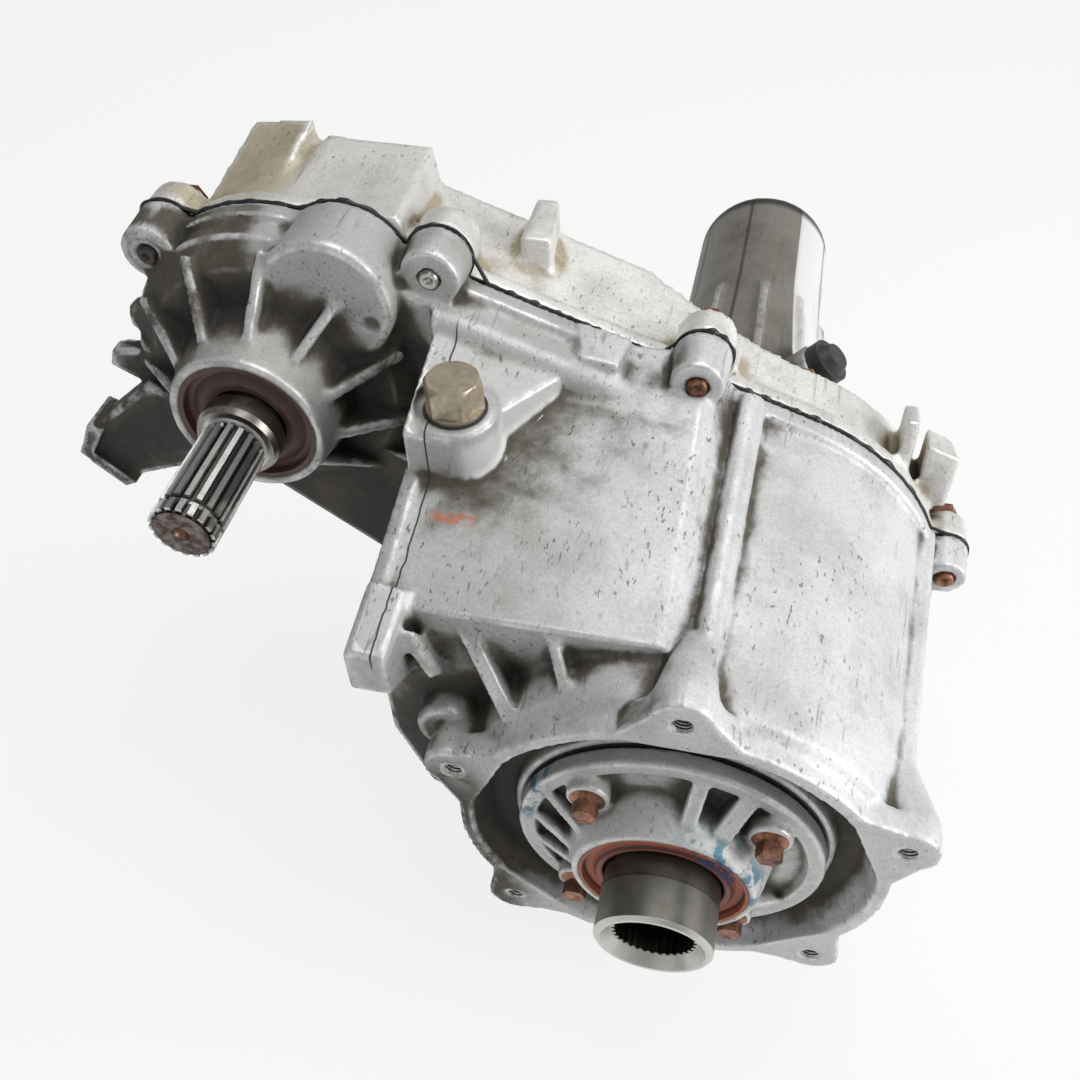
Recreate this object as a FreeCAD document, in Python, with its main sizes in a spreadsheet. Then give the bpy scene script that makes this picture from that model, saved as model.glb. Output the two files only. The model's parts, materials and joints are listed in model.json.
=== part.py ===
import FreeCAD, Part
import math
import os
import re
import Sketcher

# A part-time four-wheel-drive transfer case: two cast case halves and a tail
# housing around a planetary low range, a chain drive and a shift mechanism.
#
# Frame: the origin is the centre of the input flange's front face. -Y points at
# the gearbox that the case hangs from, +Y to the rear output, +X to the right
# and +Z to the side of the detent plug. Two parallel shafts run along Y: the
# input / rear output line through the origin, and the front output line.

os.makedirs("parts", exist_ok=True)
doc = FreeCAD.newDocument("transfer_case")
V = FreeCAD.Vector
ALONG = V(0, 1, 0)
UP = V(0, 0, 1)
ORIGIN = V(0, 0, 0)

# ---------------------------------------------------------------- dimensions

DIMENSIONS = [
    # layout of the two shaft lines and of the stations along Y
    ("output_x", -222.6, "front output line, across"),
    ("output_z", 121.7, "front output line, up"),
    ("seam_y", 182, "parting plane of the two case halves"),
    ("sealant_gap", 0.8, "thickness of the sealant beads"),
    ("chain_front", 165, "front edge of the chain"),
    ("chain_width", 32, "width of the chain"),
    ("rear_wall_y", 217, "back of the rear case beside the input line"),
    ("rear_deep_y", 250, "back of the rear case at the front output"),
    ("tail_face_y", 222, "joint face of the tail housing"),
    ("tail_end_y", 494, "rear end of the tail housing"),
    # input flange
    ("flange_bore", 90.7, "inner edge of the flange ring"),
    ("flange_rim", 97, "outer edge of the flange ring"),
    ("flange_thick", 12, "thickness of the flange ring"),
    ("bolt_circle", 105, "radius of the flange bolt holes"),
    ("flange_hole", 4.5, "radius of a tapped flange hole"),
    ("ear_tip", 13.5, "radius of a flange ear"),
    ("bowl_floor", 16, "floor of the recess round the retainer"),
    # case walls
    ("barrel_front", 101, "barrel radius just behind the flange"),
    ("barrel_rear", 113, "barrel radius at the seam lip"),
    ("hull_input", 116, "seam lip radius round the input line"),
    ("hull_output", 77, "seam lip radius round the front output line"),
    ("lip_thick", 10, "thickness of the seam lip"),
    ("wall", 6, "cast wall thickness"),
    ("cover_y", 150, "front face of the chain cover"),
    # input shaft, its bearing, retainer and seal
    ("hub_r", 26, "outside of the input hub"),
    ("hub_end", -43, "front end of the input hub"),
    ("hub_bore", 17.2, "root of the female spline"),
    ("input_spline", 18.6, "major radius of the female spline"),
    ("input_teeth", 32, "teeth of the female spline"),
    ("input_journal", 25, "bearing seat of the input shaft"),
    ("input_race", 45, "outside of the input bearing"),
    ("retainer_r", 69.5, "outside of the bearing retainer"),
    ("retainer_bolts_r", 55, "bolt circle radius of the retainer"),
    ("collar_r", 41, "outside of the retainer's collar"),
    ("seal_pocket", 38, "seal pocket of the retainer"),
    # planetary gear set
    ("module_size", 2.25, "module of the planetary gears"),
    ("sun_teeth", 34, "teeth of the sun gear"),
    ("planet_teeth", 12, "teeth of a planet gear"),
    ("ring_teeth", 58, "teeth of the annulus"),
    ("gear_front", 45, "front face of the gears"),
    ("gear_width", 28, "width of the gears"),
    ("annulus_r", 76, "outside of the annulus"),
    # main shaft
    ("main_r", 22.5, "body of the main shaft"),
    ("main_rear_r", 20, "main shaft inside the tail housing"),
    ("rear_spline_r", 17.3, "output spline of the main shaft"),
    ("rear_race", 42.5, "outside of the rear bearing"),
    # front output
    ("nose_r", 38, "front edge of the output nose"),
    ("nose_y", 113, "front face of the output nose"),
    ("shaft_r", 15.4, "spline of the front output shaft"),
    ("shaft_tip", 42.6, "front end of the front output shaft"),
    ("shaft_teeth", 18, "teeth of the front output spline"),
    ("front_race", 35, "outside of the front output bearing"),
    ("front_journal", 17.5, "bearing seat of the front output shaft"),
    # chain drive
    ("sprocket_teeth", 30, "teeth of each sprocket"),
    ("sprocket_tip", 47, "tip radius of each sprocket"),
    ("chain_inner", 48, "inner radius of the chain loop"),
    ("chain_outer", 57, "outer radius of the chain loop"),
    # shift mechanism
    ("rail_x", -92, "shift rail, across"),
    ("rail_z", 62, "shift rail, up"),
    ("rail_r", 7, "radius of the shift rail"),
    ("sector_x", -112, "shift shaft, across"),
    ("sector_y", 100, "shift shaft, along"),
    ("sector_r", 8, "radius of the shift shaft"),
    ("range_travel", 12, "travel of the range sleeve"),
    # plug
    ("plug_x", -118, "detent plug, across"),
    ("plug_y", 115, "detent plug, along"),
    ("plug_z", 148, "seat of the detent plug"),
    ("plug_flats", 23.5, "size across flats of the plug's head"),
]

sheet = doc.addObject("Spreadsheet::Sheet", "Sizes")
for row, (alias, number, meaning) in enumerate(DIMENSIONS, start=1):
    sheet.set(f"A{row}", meaning)
    sheet.set(f"B{row}", str(number))
    sheet.setAlias(f"B{row}", alias)
doc.recompute()


def size(alias):
    """The value of one driving dimension."""
    return float(sheet.get(alias))


def read_term(term):
    """Split a term such as "hub_r-1.5" into its value and its expression."""
    if not isinstance(term, str):
        return float(term), None
    alias = re.match("[a-z_]+", term).group()
    shift = round(sum(float(step) for step in re.findall("[+-][0-9.]+", term)), 4)
    return size(alias) + shift, f"Sizes.{alias} + {shift}"


O_X = size("output_x")
O_Z = size("output_z")
SEAM = size("seam_y")
GAP = size("sealant_gap")
REAR_FACE = SEAM + GAP
WALL = size("wall")

# ------------------------------------------------------------ modelling tools

nodes = []


def keep(obj):
    """Remember an object as one sub-part that gets its own file."""
    nodes.append(obj)
    return obj


def feature(label, shape, place=ORIGIN):
    """A sub-part whose shape comes from Part's own functions."""
    obj = doc.addObject("Part::Feature", label)
    obj.Shape = shape
    obj.Placement = FreeCAD.Placement(place, FreeCAD.Rotation()).multiply(shape.Placement)
    return keep(obj)


def origin_item(body, role):
    """One plane or axis of a body's own origin."""
    return next(item for item in body.Origin.OriginFeatures if item.Role == role)


def closed_profile(body, name, points):
    """A closed sketch of straight lines on the body's XY plane.

    Each point is (radius, station); every coordinate is fixed to the origin, and
    the ones that name a cell follow it."""
    sketch = body.newObject("Sketcher::SketchObject", name)
    sketch.AttachmentSupport = (origin_item(body, "XY_Plane"), [""])
    sketch.MapMode = "FlatFace"
    corners = [V(read_term(r)[0], read_term(y)[0], 0) for r, y in points]
    count = len(points)
    for i in range(count):
        sketch.addGeometry(Part.LineSegment(corners[i], corners[(i + 1) % count]), False)
    for i in range(count):
        sketch.addConstraint(Sketcher.Constraint("Coincident", i, 2, (i + 1) % count, 1))
    for i, point in enumerate(points):
        for kind, term in zip(("DistanceX", "DistanceY"), point):
            number, expression = read_term(term)
            index = sketch.addConstraint(Sketcher.Constraint(kind, -1, 1, i, 1, number))
            if expression:
                sketch.setExpression(f"Constraints[{index}]", expression)
    return sketch


def turned(label, points, line="input"):
    """A body turned about a shaft line from one closed (radius, station) profile."""
    body = doc.addObject("PartDesign::Body", label)
    sketch = closed_profile(body, label + "_profile", points)
    revolution = body.newObject("PartDesign::Revolution", label + "_turned")
    revolution.Profile = sketch
    revolution.ReferenceAxis = (sketch, ["V_Axis"])
    revolution.Angle = 360
    if line == "output":
        body.setExpression("Placement.Base.x", "Sizes.output_x")
        body.setExpression("Placement.Base.z", "Sizes.output_z")
    return keep(body)


def tube(label, inner, outer, front, back, line="input"):
    """A plain ring or tube on a shaft line."""
    return turned(label, [(inner, front), (outer, front), (outer, back), (inner, back)], line)


def rod(radius, length, start, direction=ALONG):
    """A plain cylinder."""
    return Part.makeCylinder(radius, length, start, direction)


def cone(radius_1, radius_2, length, start, direction=ALONG):
    """A cone, or a cylinder where the two radii agree."""
    if abs(radius_1 - radius_2) < 1e-6:
        return rod(radius_1, length, start, direction)
    return Part.makeCone(radius_1, radius_2, length, start, direction)


def slab(points, front, length):
    """A prism along Y from an outline of (x, z) points."""
    corners = [V(x, front, z) for x, z in points]
    return Part.Face(Part.makePolygon(corners + corners[:1])).extrude(V(0, length, 0))


def side_slab(points, left, width):
    """A prism along X from an outline of (y, z) points."""
    corners = [V(left, y, z) for y, z in points]
    return Part.Face(Part.makePolygon(corners + corners[:1])).extrude(V(width, 0, 0))


def plan_slab(points, bottom, height):
    """A prism along Z from an outline of (x, y) points."""
    corners = [V(x, y, bottom) for x, y in points]
    return Part.Face(Part.makePolygon(corners + corners[:1])).extrude(V(0, 0, height))


def block(x, y, z):
    """A box from three (low, high) spans."""
    return Part.makeBox(x[1] - x[0], y[1] - y[0], z[1] - z[0], V(x[0], y[0], z[0]))


def loft(sections):
    """A straight-sided loft through outlines of (x, z) points at their stations."""
    wires = []
    for station, points in sections:
        corners = [V(x, station, z) for x, z in points]
        wires.append(Part.makePolygon(corners + corners[:1]))
    return Part.makeLoft(wires, True, True)


def turn(points, line=(0, 0)):
    """A turned solid about a line parallel to Y, from (radius, station) points."""
    corners = [V(line[0] + r, y, line[1]) for r, y in points]
    face = Part.Face(Part.makePolygon(corners + corners[:1]))
    return face.revolve(V(line[0], 0, line[1]), ALONG, 360)


def fused(shapes):
    """One shape from many, with the seams between coplanar faces removed."""
    return shapes[0].fuse(shapes[1:]).removeSplitter()


def carved(solid, tools):
    """A solid with tools cut away one by one; each of them has to remove something."""
    for tool in tools:
        left = solid.cut(tool)
        if not left.Volume < solid.Volume - 0.01:
            raise RuntimeError(f"a cut removed nothing near {tool.BoundBox}")
        solid = left
    return solid


def polar(radius, angle, station, line=(0, 0)):
    """A point at a radius and an angle (degrees from +X towards +Z) round a line."""
    rad = math.radians(angle)
    return V(line[0] + radius * math.cos(rad), station, line[1] + radius * math.sin(rad))


def spun(shape, angle, line=(0, 0)):
    """A copy turned round a line parallel to Y, from +X towards +Z."""
    copy = shape.copy()
    copy.rotate(V(line[0], 0, line[1]), ALONG, -angle)
    return copy


def tangent_band(r_output, r_input, front, length):
    """The prism whose outline wraps a circle on each shaft line with two tangents."""
    span = math.hypot(O_X, O_Z)
    tilt = math.asin((r_input - r_output) / span)
    along = math.atan2(-O_Z, -O_X)
    shapes = []
    corners = []
    for side in (1, -1):
        normal = along + side * (math.pi / 2 + tilt)
        step = (math.cos(normal), math.sin(normal))
        near = (r_input * step[0], r_input * step[1])
        far = (O_X + r_output * step[0], O_Z + r_output * step[1])
        corners += [far, near] if side == 1 else [near, far]
    corners.insert(2, (0, 0))
    corners.append((O_X, O_Z))
    shapes.append(slab(corners, front, length))
    shapes.append(rod(r_input, length, V(0, front, 0)))
    shapes.append(rod(r_output, length, V(O_X, front, O_Z)))
    return fused(shapes)


def toothed_face(count, root, tip, fill=0.5, internal=False, phase=0.0, flank=0.55):
    """A face in the plane y = 0 bounded by straight-flanked teeth.

    fill is the tooth's share of the pitch at half its height, and flank the
    share of that which is left at the tip."""
    pitch = 2 * math.pi / count
    points = []
    for i in range(count):
        middle = math.radians(phase) + i * pitch
        half_root = pitch * fill * (1 - flank / 2)
        half_tip = pitch * fill * flank / 2
        for radius, shift in ((root, -half_root), (tip, -half_tip), (tip, half_tip), (root, half_root)):
            points.append(V(radius * math.cos(middle + shift), 0, radius * math.sin(middle + shift)))
    return Part.Face(Part.makePolygon(points + points[:1]))


def toothed(count, root, tip, front, length, **shape):
    """A prism of toothed_face along Y."""
    solid = toothed_face(count, root, tip, **shape).extrude(V(0, length, 0))
    solid.translate(V(0, front, 0))
    return solid


def hexagon(flats, height, base, direction=UP):
    """A hexagonal prism standing on a point."""
    radius = flats / math.sqrt(3)
    corners = [V(radius * math.cos(math.radians(60 * i)), radius * math.sin(math.radians(60 * i)), 0)
               for i in range(6)]
    solid = Part.Face(Part.makePolygon(corners + corners[:1])).extrude(V(0, 0, height))
    bevel = cone(radius + height, flats / 2 * 0.96, height + radius - flats / 2 * 0.96, V(0, 0, 0), UP)
    solid = solid.common(bevel)
    turned_up = FreeCAD.Placement(base, FreeCAD.Rotation(UP, direction))
    solid.Placement = turned_up
    return solid


def flanged_bolt(shank, length, flats, head, flange, seat, direction):
    """A flanged hex screw: its head stands on the seat, its shank runs the other way."""
    washer = cone(flange, flats / 2, 2.0, seat, direction)
    hexa = hexagon(flats, head, seat + direction * 1.4, direction)
    pin = rod(shank, length, seat - direction * length, direction)
    return fused([washer, hexa, pin])


def gusset(top, tip, root, thick):
    """A triangular stiffening plate through three points, centred on its plane."""
    normal = (tip - top).cross(root - top).normalize()
    face = Part.Face(Part.makePolygon([top, tip, root, top]))
    plate = face.extrude(normal * thick)
    plate.translate(normal * (-thick / 2))
    return plate


def round_front(solid, radius, station):
    """Round the edges of a casting that lie in the plane y = station."""
    edges = [edge for edge in solid.Edges
             if all(abs(vertex.Point.y - station) < 1e-4 for vertex in edge.Vertexes)
             and abs(edge.CenterOfMass.y - station) < 1e-4]
    return solid.makeFillet(radius, edges)


# ---------------------------------------------------------------- case halves

# Screw ears round the seam: across, up, front face of the boss, radius.
SEAM_EARS = [
    (-277, 180, 158, 15),
    (-141, 180, 162, 15.5),
    (-17, 140, 158, 14),
    (116, 32, 162, 12),
    (84, -84, 164, 12),
    (-28, -116, 164, 12),
    (-160, -29, 164, 12),
    (-299, 96, 164, 12),
]
EAR_BACK = 200.0
EAR_HOLE = 5.2
SCREW_R = 4.9
SCREW_SEAT = 9.8
PAD = (-187, 171, 32, 147)      # round pad on the chain cover: across, up, radius, face
TAIL_RIM = 98.0
PANEL_FRONT = 34.0
PANEL_LOW = 107.0
PANEL_HIGH = 142.0
BOX_LEFT = -139.0
RECESS_Y = 158.0
CAVITY_Y = 163.5


def panel_z(y):
    """Height of the sloping top panel of the shift housing."""
    return PANEL_LOW + (y - PANEL_FRONT) * (PANEL_HIGH - PANEL_LOW) / (SEAM - PANEL_FRONT)


def platform_z(x, y):
    """Height of the raised ground that carries the detent plug."""
    return 81.1 - 0.323 * x + 0.239 * y


def shift_box(front, back, inset):
    """The shift housing beside the barrel: a draughted box under a sloping panel."""
    sections = []
    for y in (front, back):
        top = panel_z(y) - inset
        shoulder = 101 + (y - PANEL_FRONT) * 0.13 - inset
        sections.append((y, [
            (BOX_LEFT + inset, 12), (BOX_LEFT + inset, 60), (BOX_LEFT + 3 + inset, top - 5),
            (BOX_LEFT + 9 + inset, top), (-13, top), (2, shoulder), (0, 0), (-80 + inset, -62 + inset),
            (-124 + inset, -34 + inset)]))
    return loft(sections)


def plug_platform(inset):
    """The wedge of raised ground behind the plug, up to the seam."""
    ground = plan_slab([(-137 + inset, 96 + inset), (-119, 96 + inset), (-57 - inset, 180 - inset),
                        (-57 - inset, SEAM), (-137 + inset, SEAM)], 90, 120)
    under = loft([(y, [(-150, 80), (-150, platform_z(-150, y) - inset),
                       (-40, platform_z(-40, y) - inset), (-40, 80)]) for y in (60, SEAM)])
    return ground.common(under)


def flange_ears():
    """Six ears round the input flange, each with a boss that fades into the barrel."""
    reach = size("bolt_circle")
    tip = size("ear_tip")
    thick = size("flange_thick")
    shapes = []
    for angle in (22.5, 90, 157.5, 225, 270, 315):
        pin = rod(tip, thick, V(reach, 0, 0))
        web = slab([(88, -30), (reach + 4, -tip * 0.95), (reach + 4, tip * 0.95), (88, 30)], 0, thick)
        tail = cone(tip, tip * 0.55, 34, V(reach, thick, 0), V(-0.16, 1, 0))
        ear = fused([pin, web, tail])
        shapes.append(spun(ear, angle))
    return shapes


def nose_ribs():
    """Radial ribs from the output nose down to the chain cover."""
    shapes = []
    for i in (0, 1, 2, 3, 4, 5, 6, 7, 9, 10):
        rib = Part.Face(Part.makePolygon([V(37, 121, 0), V(73, 152, 0), V(40, 157, 0), V(37, 121, 0)]))
        rib = rib.extrude(V(0, 0, 5))
        rib.translate(V(O_X, 0, O_Z - 2.5))
        shapes.append(spun(rib, 18 + i * 360 / 11, (O_X, O_Z)))
    return shapes


def front_case():
    """The front casting: flange, barrel, shift housing and chain cover in one."""
    cover = size("cover_y")
    ring_in = size("flange_bore")
    ring_out = size("flange_rim")
    seat = size("flange_thick") + GAP
    barrel_1 = size("barrel_front")
    barrel_2 = size("barrel_rear")
    lip_y = SEAM - size("lip_thick")
    floor = size("bowl_floor")
    race = size("input_race")

    barrel = turn([(race, seat), (73, seat), (74, floor + 4), (84, floor + 1), (ring_in - 1.2, 6),
                   (ring_in, 0), (ring_out, 0), (ring_out + 0.5, 9), (barrel_1, 14),
                   (barrel_2, lip_y), (barrel_2, SEAM), (race, SEAM)])
    dome = turn([(0, 145), (45, 145), (62, 149), (73, 158), (74, 170), (0, 170)], (O_X, O_Z))
    chain_cover = round_front(tangent_band(74, barrel_2 - 1, cover, SEAM - cover), 9, cover)
    # above the dome the cover steps back
    hollow = slab([(-340, 150), (-139, 70), (-139, 240), (-340, 240)], cover - 1, RECESS_Y - cover + 1)
    chain_cover = chain_cover.cut(hollow)
    lip = tangent_band(size("hull_output"), size("hull_input"), lip_y, SEAM - lip_y)
    nose_y = size("nose_y")
    nose = turn([(0, nose_y), (size("nose_r"), nose_y), (46, cover + 4), (0, cover + 4)], (O_X, O_Z))
    pad_x, pad_z, pad_r, pad_y = PAD
    pad = round_front(rod(pad_r, SEAM - pad_y, V(pad_x, pad_y, pad_z)), 3, pad_y)
    solids = [barrel, chain_cover, lip, dome, nose, pad]
    solids += flange_ears()
    solids += nose_ribs()
    solids.append(shift_box(PANEL_FRONT, SEAM, 0))
    solids.append(plug_platform(0))
    for x, z, face, radius in SEAM_EARS:
        solids.append(cone(radius - 1.5, radius, SEAM - face, V(x, face, z)))

    # detent plug boss, edge rail with its end block, and the lug beside the seam
    plug_z = size("plug_z")
    solids.append(rod(19, 40, V(size("plug_x"), size("plug_y"), plug_z - 40), UP))
    solids.append(loft([(y, [(BOX_LEFT, 60), (BOX_LEFT, panel_z(y) + 2), (-131, panel_z(y) + 3), (-130, 60)])
                        for y in (20, 120)]))
    solids.append(loft([(5, [(BOX_LEFT, 84), (BOX_LEFT, 106), (-136, 110), (-121, 108), (-121, 84)]),
                        (40, [(BOX_LEFT, 60), (BOX_LEFT, 112), (-136, 115), (-121, 112), (-121, 60)])]))
    solids.append(loft([(160, [(-72, 128), (-72, 148), (-54, 145), (-54, 128)]),
                        (180, [(-76, 128), (-76, 153), (-50, 147), (-50, 128)])]))

    # gussets between the shift housing and the flange, and the blind round boss
    solids.append(gusset(V(-103, 40, 108), V(-72, 11, 70), V(-74, 44, 52), 7))
    solids.append(gusset(V(-61, 38, 108), V(-49, 17, 88), V(-50, 44, 62), 5))
    solids.append(gusset(V(-120, 24, 104), V(-108, 24, 74), V(-110, 44, 70), 7))
    solids.append(round_front(rod(16, 44, V(-104, 20, 38)), 2, 20))

    # long ridges on the barrel
    solids.append(cone(6, 8, 168, V(4, 10, 99), V(0.02, 1, 0.118)))
    solids.append(cone(4, 6, 164, V(94, 14, 41), V(0.055, 1, 0.03)))
    solids.append(cone(4, 6, 164, V(62, 14, -81), V(0.045, 1, -0.055)))

    # shift shaft boss under the shift housing
    shaft_at = V(size("sector_x"), size("sector_y"), -57)
    solids.append(rod(14, 30, shaft_at, UP))

    # mounting arm and small lugs at the left of the chain cover
    arm = slab([(-262, 98), (-272, 62), (-322, 42), (-341, 62), (-330, 80), (-292, 112)], 143, 15)
    rim = slab([(-318, 42), (-326, 38), (-346, 60), (-334, 82), (-326, 78), (-337, 61)], 138, 26)
    solids += [arm, rim, slab([(-288, 98), (-316, 114), (-312, 124), (-284, 128)], 152, 10),
               slab([(-284, 128), (-300, 136), (-298, 148), (-284, 152)], 158, 9)]
    case = fused(solids)

    # inside: bearing and annulus seats, gear, chain and shift spaces, all the bores
    gear_back = size("gear_front") + size("gear_width") + 2
    cuts = [turn([(0, -1), (race, -1), (race, 38), (41.5, 38), (41.5, 41), (58, 41),
                  (size("annulus_r"), size("gear_front") - 2), (size("annulus_r"), gear_back),
                  (barrel_1 - WALL, gear_back), (barrel_2 - WALL - 1, SEAM + 1), (0, SEAM + 1)]),
            tangent_band(68, barrel_2 - WALL - 2, CAVITY_Y, SEAM - CAVITY_Y + 1),
            turn([(84, 26), (94, 26), (96, gear_back + 1), (84, gear_back + 1)]),
            shift_box(PANEL_FRONT + WALL + 2, SEAM + 1, WALL + 1).cut(rod(84, gear_back, ORIGIN)),
            turn([(0, 0), (34, 0), (34, 128), (size("front_race"), 128), (size("front_race"), 147),
                  (29, 147), (29, CAVITY_Y + 1), (0, CAVITY_Y + 1)], (O_X, O_Z)),
            rod(18, 30, V(size("plug_x"), size("plug_y"), plug_z), UP),
            rod(11.5, 60, V(size("plug_x"), size("plug_y"), 112), UP)]
    case = carved(case, cuts)
    # bosses that stand inside: the shift rail's seat and the detent plunger's guide
    guide = V(size("plug_x"), size("plug_y"), 90)
    rail = V(size("rail_x"), 38, size("rail_z"))
    case = fused([case, rod(12, 20, rail), rod(13, 22, guide, UP)])
    cuts = [rod(size("rail_r"), 20, V(rail.x, 46, rail.z)),
            rod(6.05, 30, V(guide.x, guide.y, 89), UP),
            rod(size("sector_r") + 0.05, 60, V(shaft_at.x, shaft_at.y, -58), UP)]
    reach = size("bolt_circle")
    hole = size("flange_hole")
    for angle in (22.5, 90, 157.5, 225, 270, 315):
        cuts.append(rod(hole, 24, polar(reach, angle, -1)))
    for angle in (40, 131, 222, 307):
        cuts.append(rod(4.0, 20, polar(size("retainer_bolts_r"), angle, seat - 1)))
    for x, z, face, radius in SEAM_EARS:
        cuts.append(rod(EAR_HOLE, SEAM - face + 2, V(x, face - 1, z)))
    cuts.append(rod(4.5, 3, V(-166, PAD[3] - 1, 163)))
    return feature("front_case", carved(case, cuts))



def back_cut():
    """The space behind the rear case: shallow round the tail joint, deep beyond it."""
    shallow = size("rear_wall_y")
    deep = size("rear_deep_y")
    rim = TAIL_RIM + 5
    dish = turn([(0, shallow), (rim, shallow), (rim + 44, deep), (rim + 44, deep + 50), (0, deep + 50)])
    return fused([dish, block((-400, 200), (deep, deep + 50), (-200, 300))])


PICKUP_X = -40
PICKUP_Z = 47.5
PICKUP_R = 4.0


def rear_case():
    """The rear casting: seam lip, chain housing and the two rear bearing seats."""
    deep = size("rear_deep_y")
    shallow = size("rear_wall_y")
    band_in = size("hull_input")
    band_out = size("hull_output")
    body = tangent_band(band_out - 4, band_in - 4, REAR_FACE, deep - REAR_FACE).cut(back_cut())
    solids = [body, tangent_band(band_out, band_in, REAR_FACE, size("lip_thick"))]
    for x, z, face, radius in SEAM_EARS:
        solids.append(rod(radius, EAR_BACK - REAR_FACE, V(x, REAR_FACE, z)))
    solids.append(turn([(0, shallow - 4), (TAIL_RIM + 2, shallow - 4), (TAIL_RIM + 2, size("tail_face_y")),
                        (0, size("tail_face_y"))]))
    # pump and bearing swellings over the front output, with the groove between them
    solids.append(loft([(REAR_FACE, [(-216, 140), (-221, 194), (-160, 196), (-152, 140)]),
                        (deep, [(-216, 140), (-218, 198), (-163, 196), (-154, 140)])]))
    solids.append(loft([(REAR_FACE, [(-268, 130), (-268, 178), (-231, 188), (-226, 130)]),
                        (deep + 4, [(-268, 130), (-258, 200), (-225, 204), (-222, 130)])]))
    solids.append(rod(36, deep + 6 - REAR_FACE, V(O_X, REAR_FACE, O_Z)))
    solids.append(plan_slab([(-112, 214), (-96, 214), (-100, deep + 2), (-112, deep + 2)], 120, 52))
    # fins and the bolt pad beside the right-hand screws
    solids.append(loft([(194, [(83, 60), (83, 104), (90, 104), (90, 60)]),
                        (216, [(83, 60), (83, 98), (90, 98), (90, 60)])]))
    solids.append(loft([(194, [(96, 50), (96, 90), (113, 84), (113, 50)]),
                        (214, [(96, 50), (96, 86), (110, 80), (110, 50)])]))
    solids.append(loft([(EAR_BACK - 6, [(-8, 118), (-8, 138), (-1, 138), (-1, 118)]),
                        (shallow, [(-8, 118), (-8, 126), (-1, 126), (-1, 118)])]))
    case = fused(solids)
    inner = tangent_band(68, band_in - 11, REAR_FACE - 1, deep - REAR_FACE)
    back = back_cut()
    back.translate(V(0, -WALL - 2, 0))
    cuts = [inner.cut(back),
            rod(size("rear_race"), 17, V(0, 203, 0)),
            rod(28, 30, V(0, 200, 0))]
    boss = turn([(size("rear_race"), 203), (55, 203), (60, 214), (size("rear_race"), 214)])
    seat = turn([(31, 208), (39, 208), (42, deep - 2), (31, deep - 2)], (O_X, O_Z))
    heads = [rod(SCREW_SEAT, 14, V(x, EAR_BACK, z)) for x, z, face, radius in SEAM_EARS]
    shell = carved(case, cuts[:1]).cut(heads)
    rail_x, rail_z = size("rail_x"), size("rail_z")
    rail_boss = rod(12, 14, V(rail_x, 205, rail_z))
    shell = carved(fused([shell, boss, seat, rail_boss]), cuts[1:])
    holes = [rod(EAR_HOLE, 30, V(x, REAR_FACE - 1, z)) for x, z, face, radius in SEAM_EARS]
    holes += [rod(4, 12, polar(90, 22.5 + 45 * i, size("tail_face_y") - 11)) for i in range(8)]
    holes.append(rod(size("rail_r"), 9, V(rail_x, 204, rail_z)))
    holes.append(rod(PICKUP_R + 0.2, 20, V(PICKUP_X, 204, PICKUP_Z)))
    return feature("rear_case", carved(shell, holes))


def tail_housing():
    """The tail casting: joint flange, bell with lengthwise ribs, sensor boss, nose tube."""
    face = size("tail_face_y") + GAP
    end = size("tail_end_y")
    outside = turn([(0, face), (TAIL_RIM, face), (TAIL_RIM, face + 9), (80, face + 13), (66, face + 24),
                    (58, 275), (52, 320), (48, 360), (45.5, 400), (45, end - 6), (43, end), (0, end)])
    solids = [outside]
    for angle, width in ((118, 4), (84, 5), (52, 5), (20, 4), (160, 4), (215, 5), (270, 5), (325, 5)):
        rib = Part.Face(Part.makePolygon([V(40, face + 2, 0), V(82, face + 8, 0), V(62, 275, 0),
                                          V(50, 380, 0), V(40, 400, 0), V(40, face + 2, 0)]))
        rib = rib.extrude(V(0, 0, width))
        rib.translate(V(0, 0, -width / 2))
        solids.append(spun(rib, angle))
    for i in range(8):
        solids.append(cone(10, 8, 16, polar(90, 22.5 + 45 * i, face)))
    boss_dir = V(math.cos(math.radians(48)), 0, math.sin(math.radians(48)))
    solids.append(rod(15, 66, V(0, 300, 0), boss_dir))
    shell = fused(solids)
    inside = turn([(0, face - 1), (76, face - 1), (72, face + 8), (60, face + 22), (52, 275), (46, 320),
                   (42, 360), (39.5, 400), (39, 432), (23, 432), (23, 474), (31, 474), (31, end + 1),
                   (0, end + 1)])
    cuts = [inside, rod(9, 70, V(0, 300, 0), boss_dir)]
    cuts += [rod(4.5, 30, polar(90, 22.5 + 45 * i, face - 1)) for i in range(8)]
    return feature("tail_housing", carved(shell, cuts))


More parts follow.
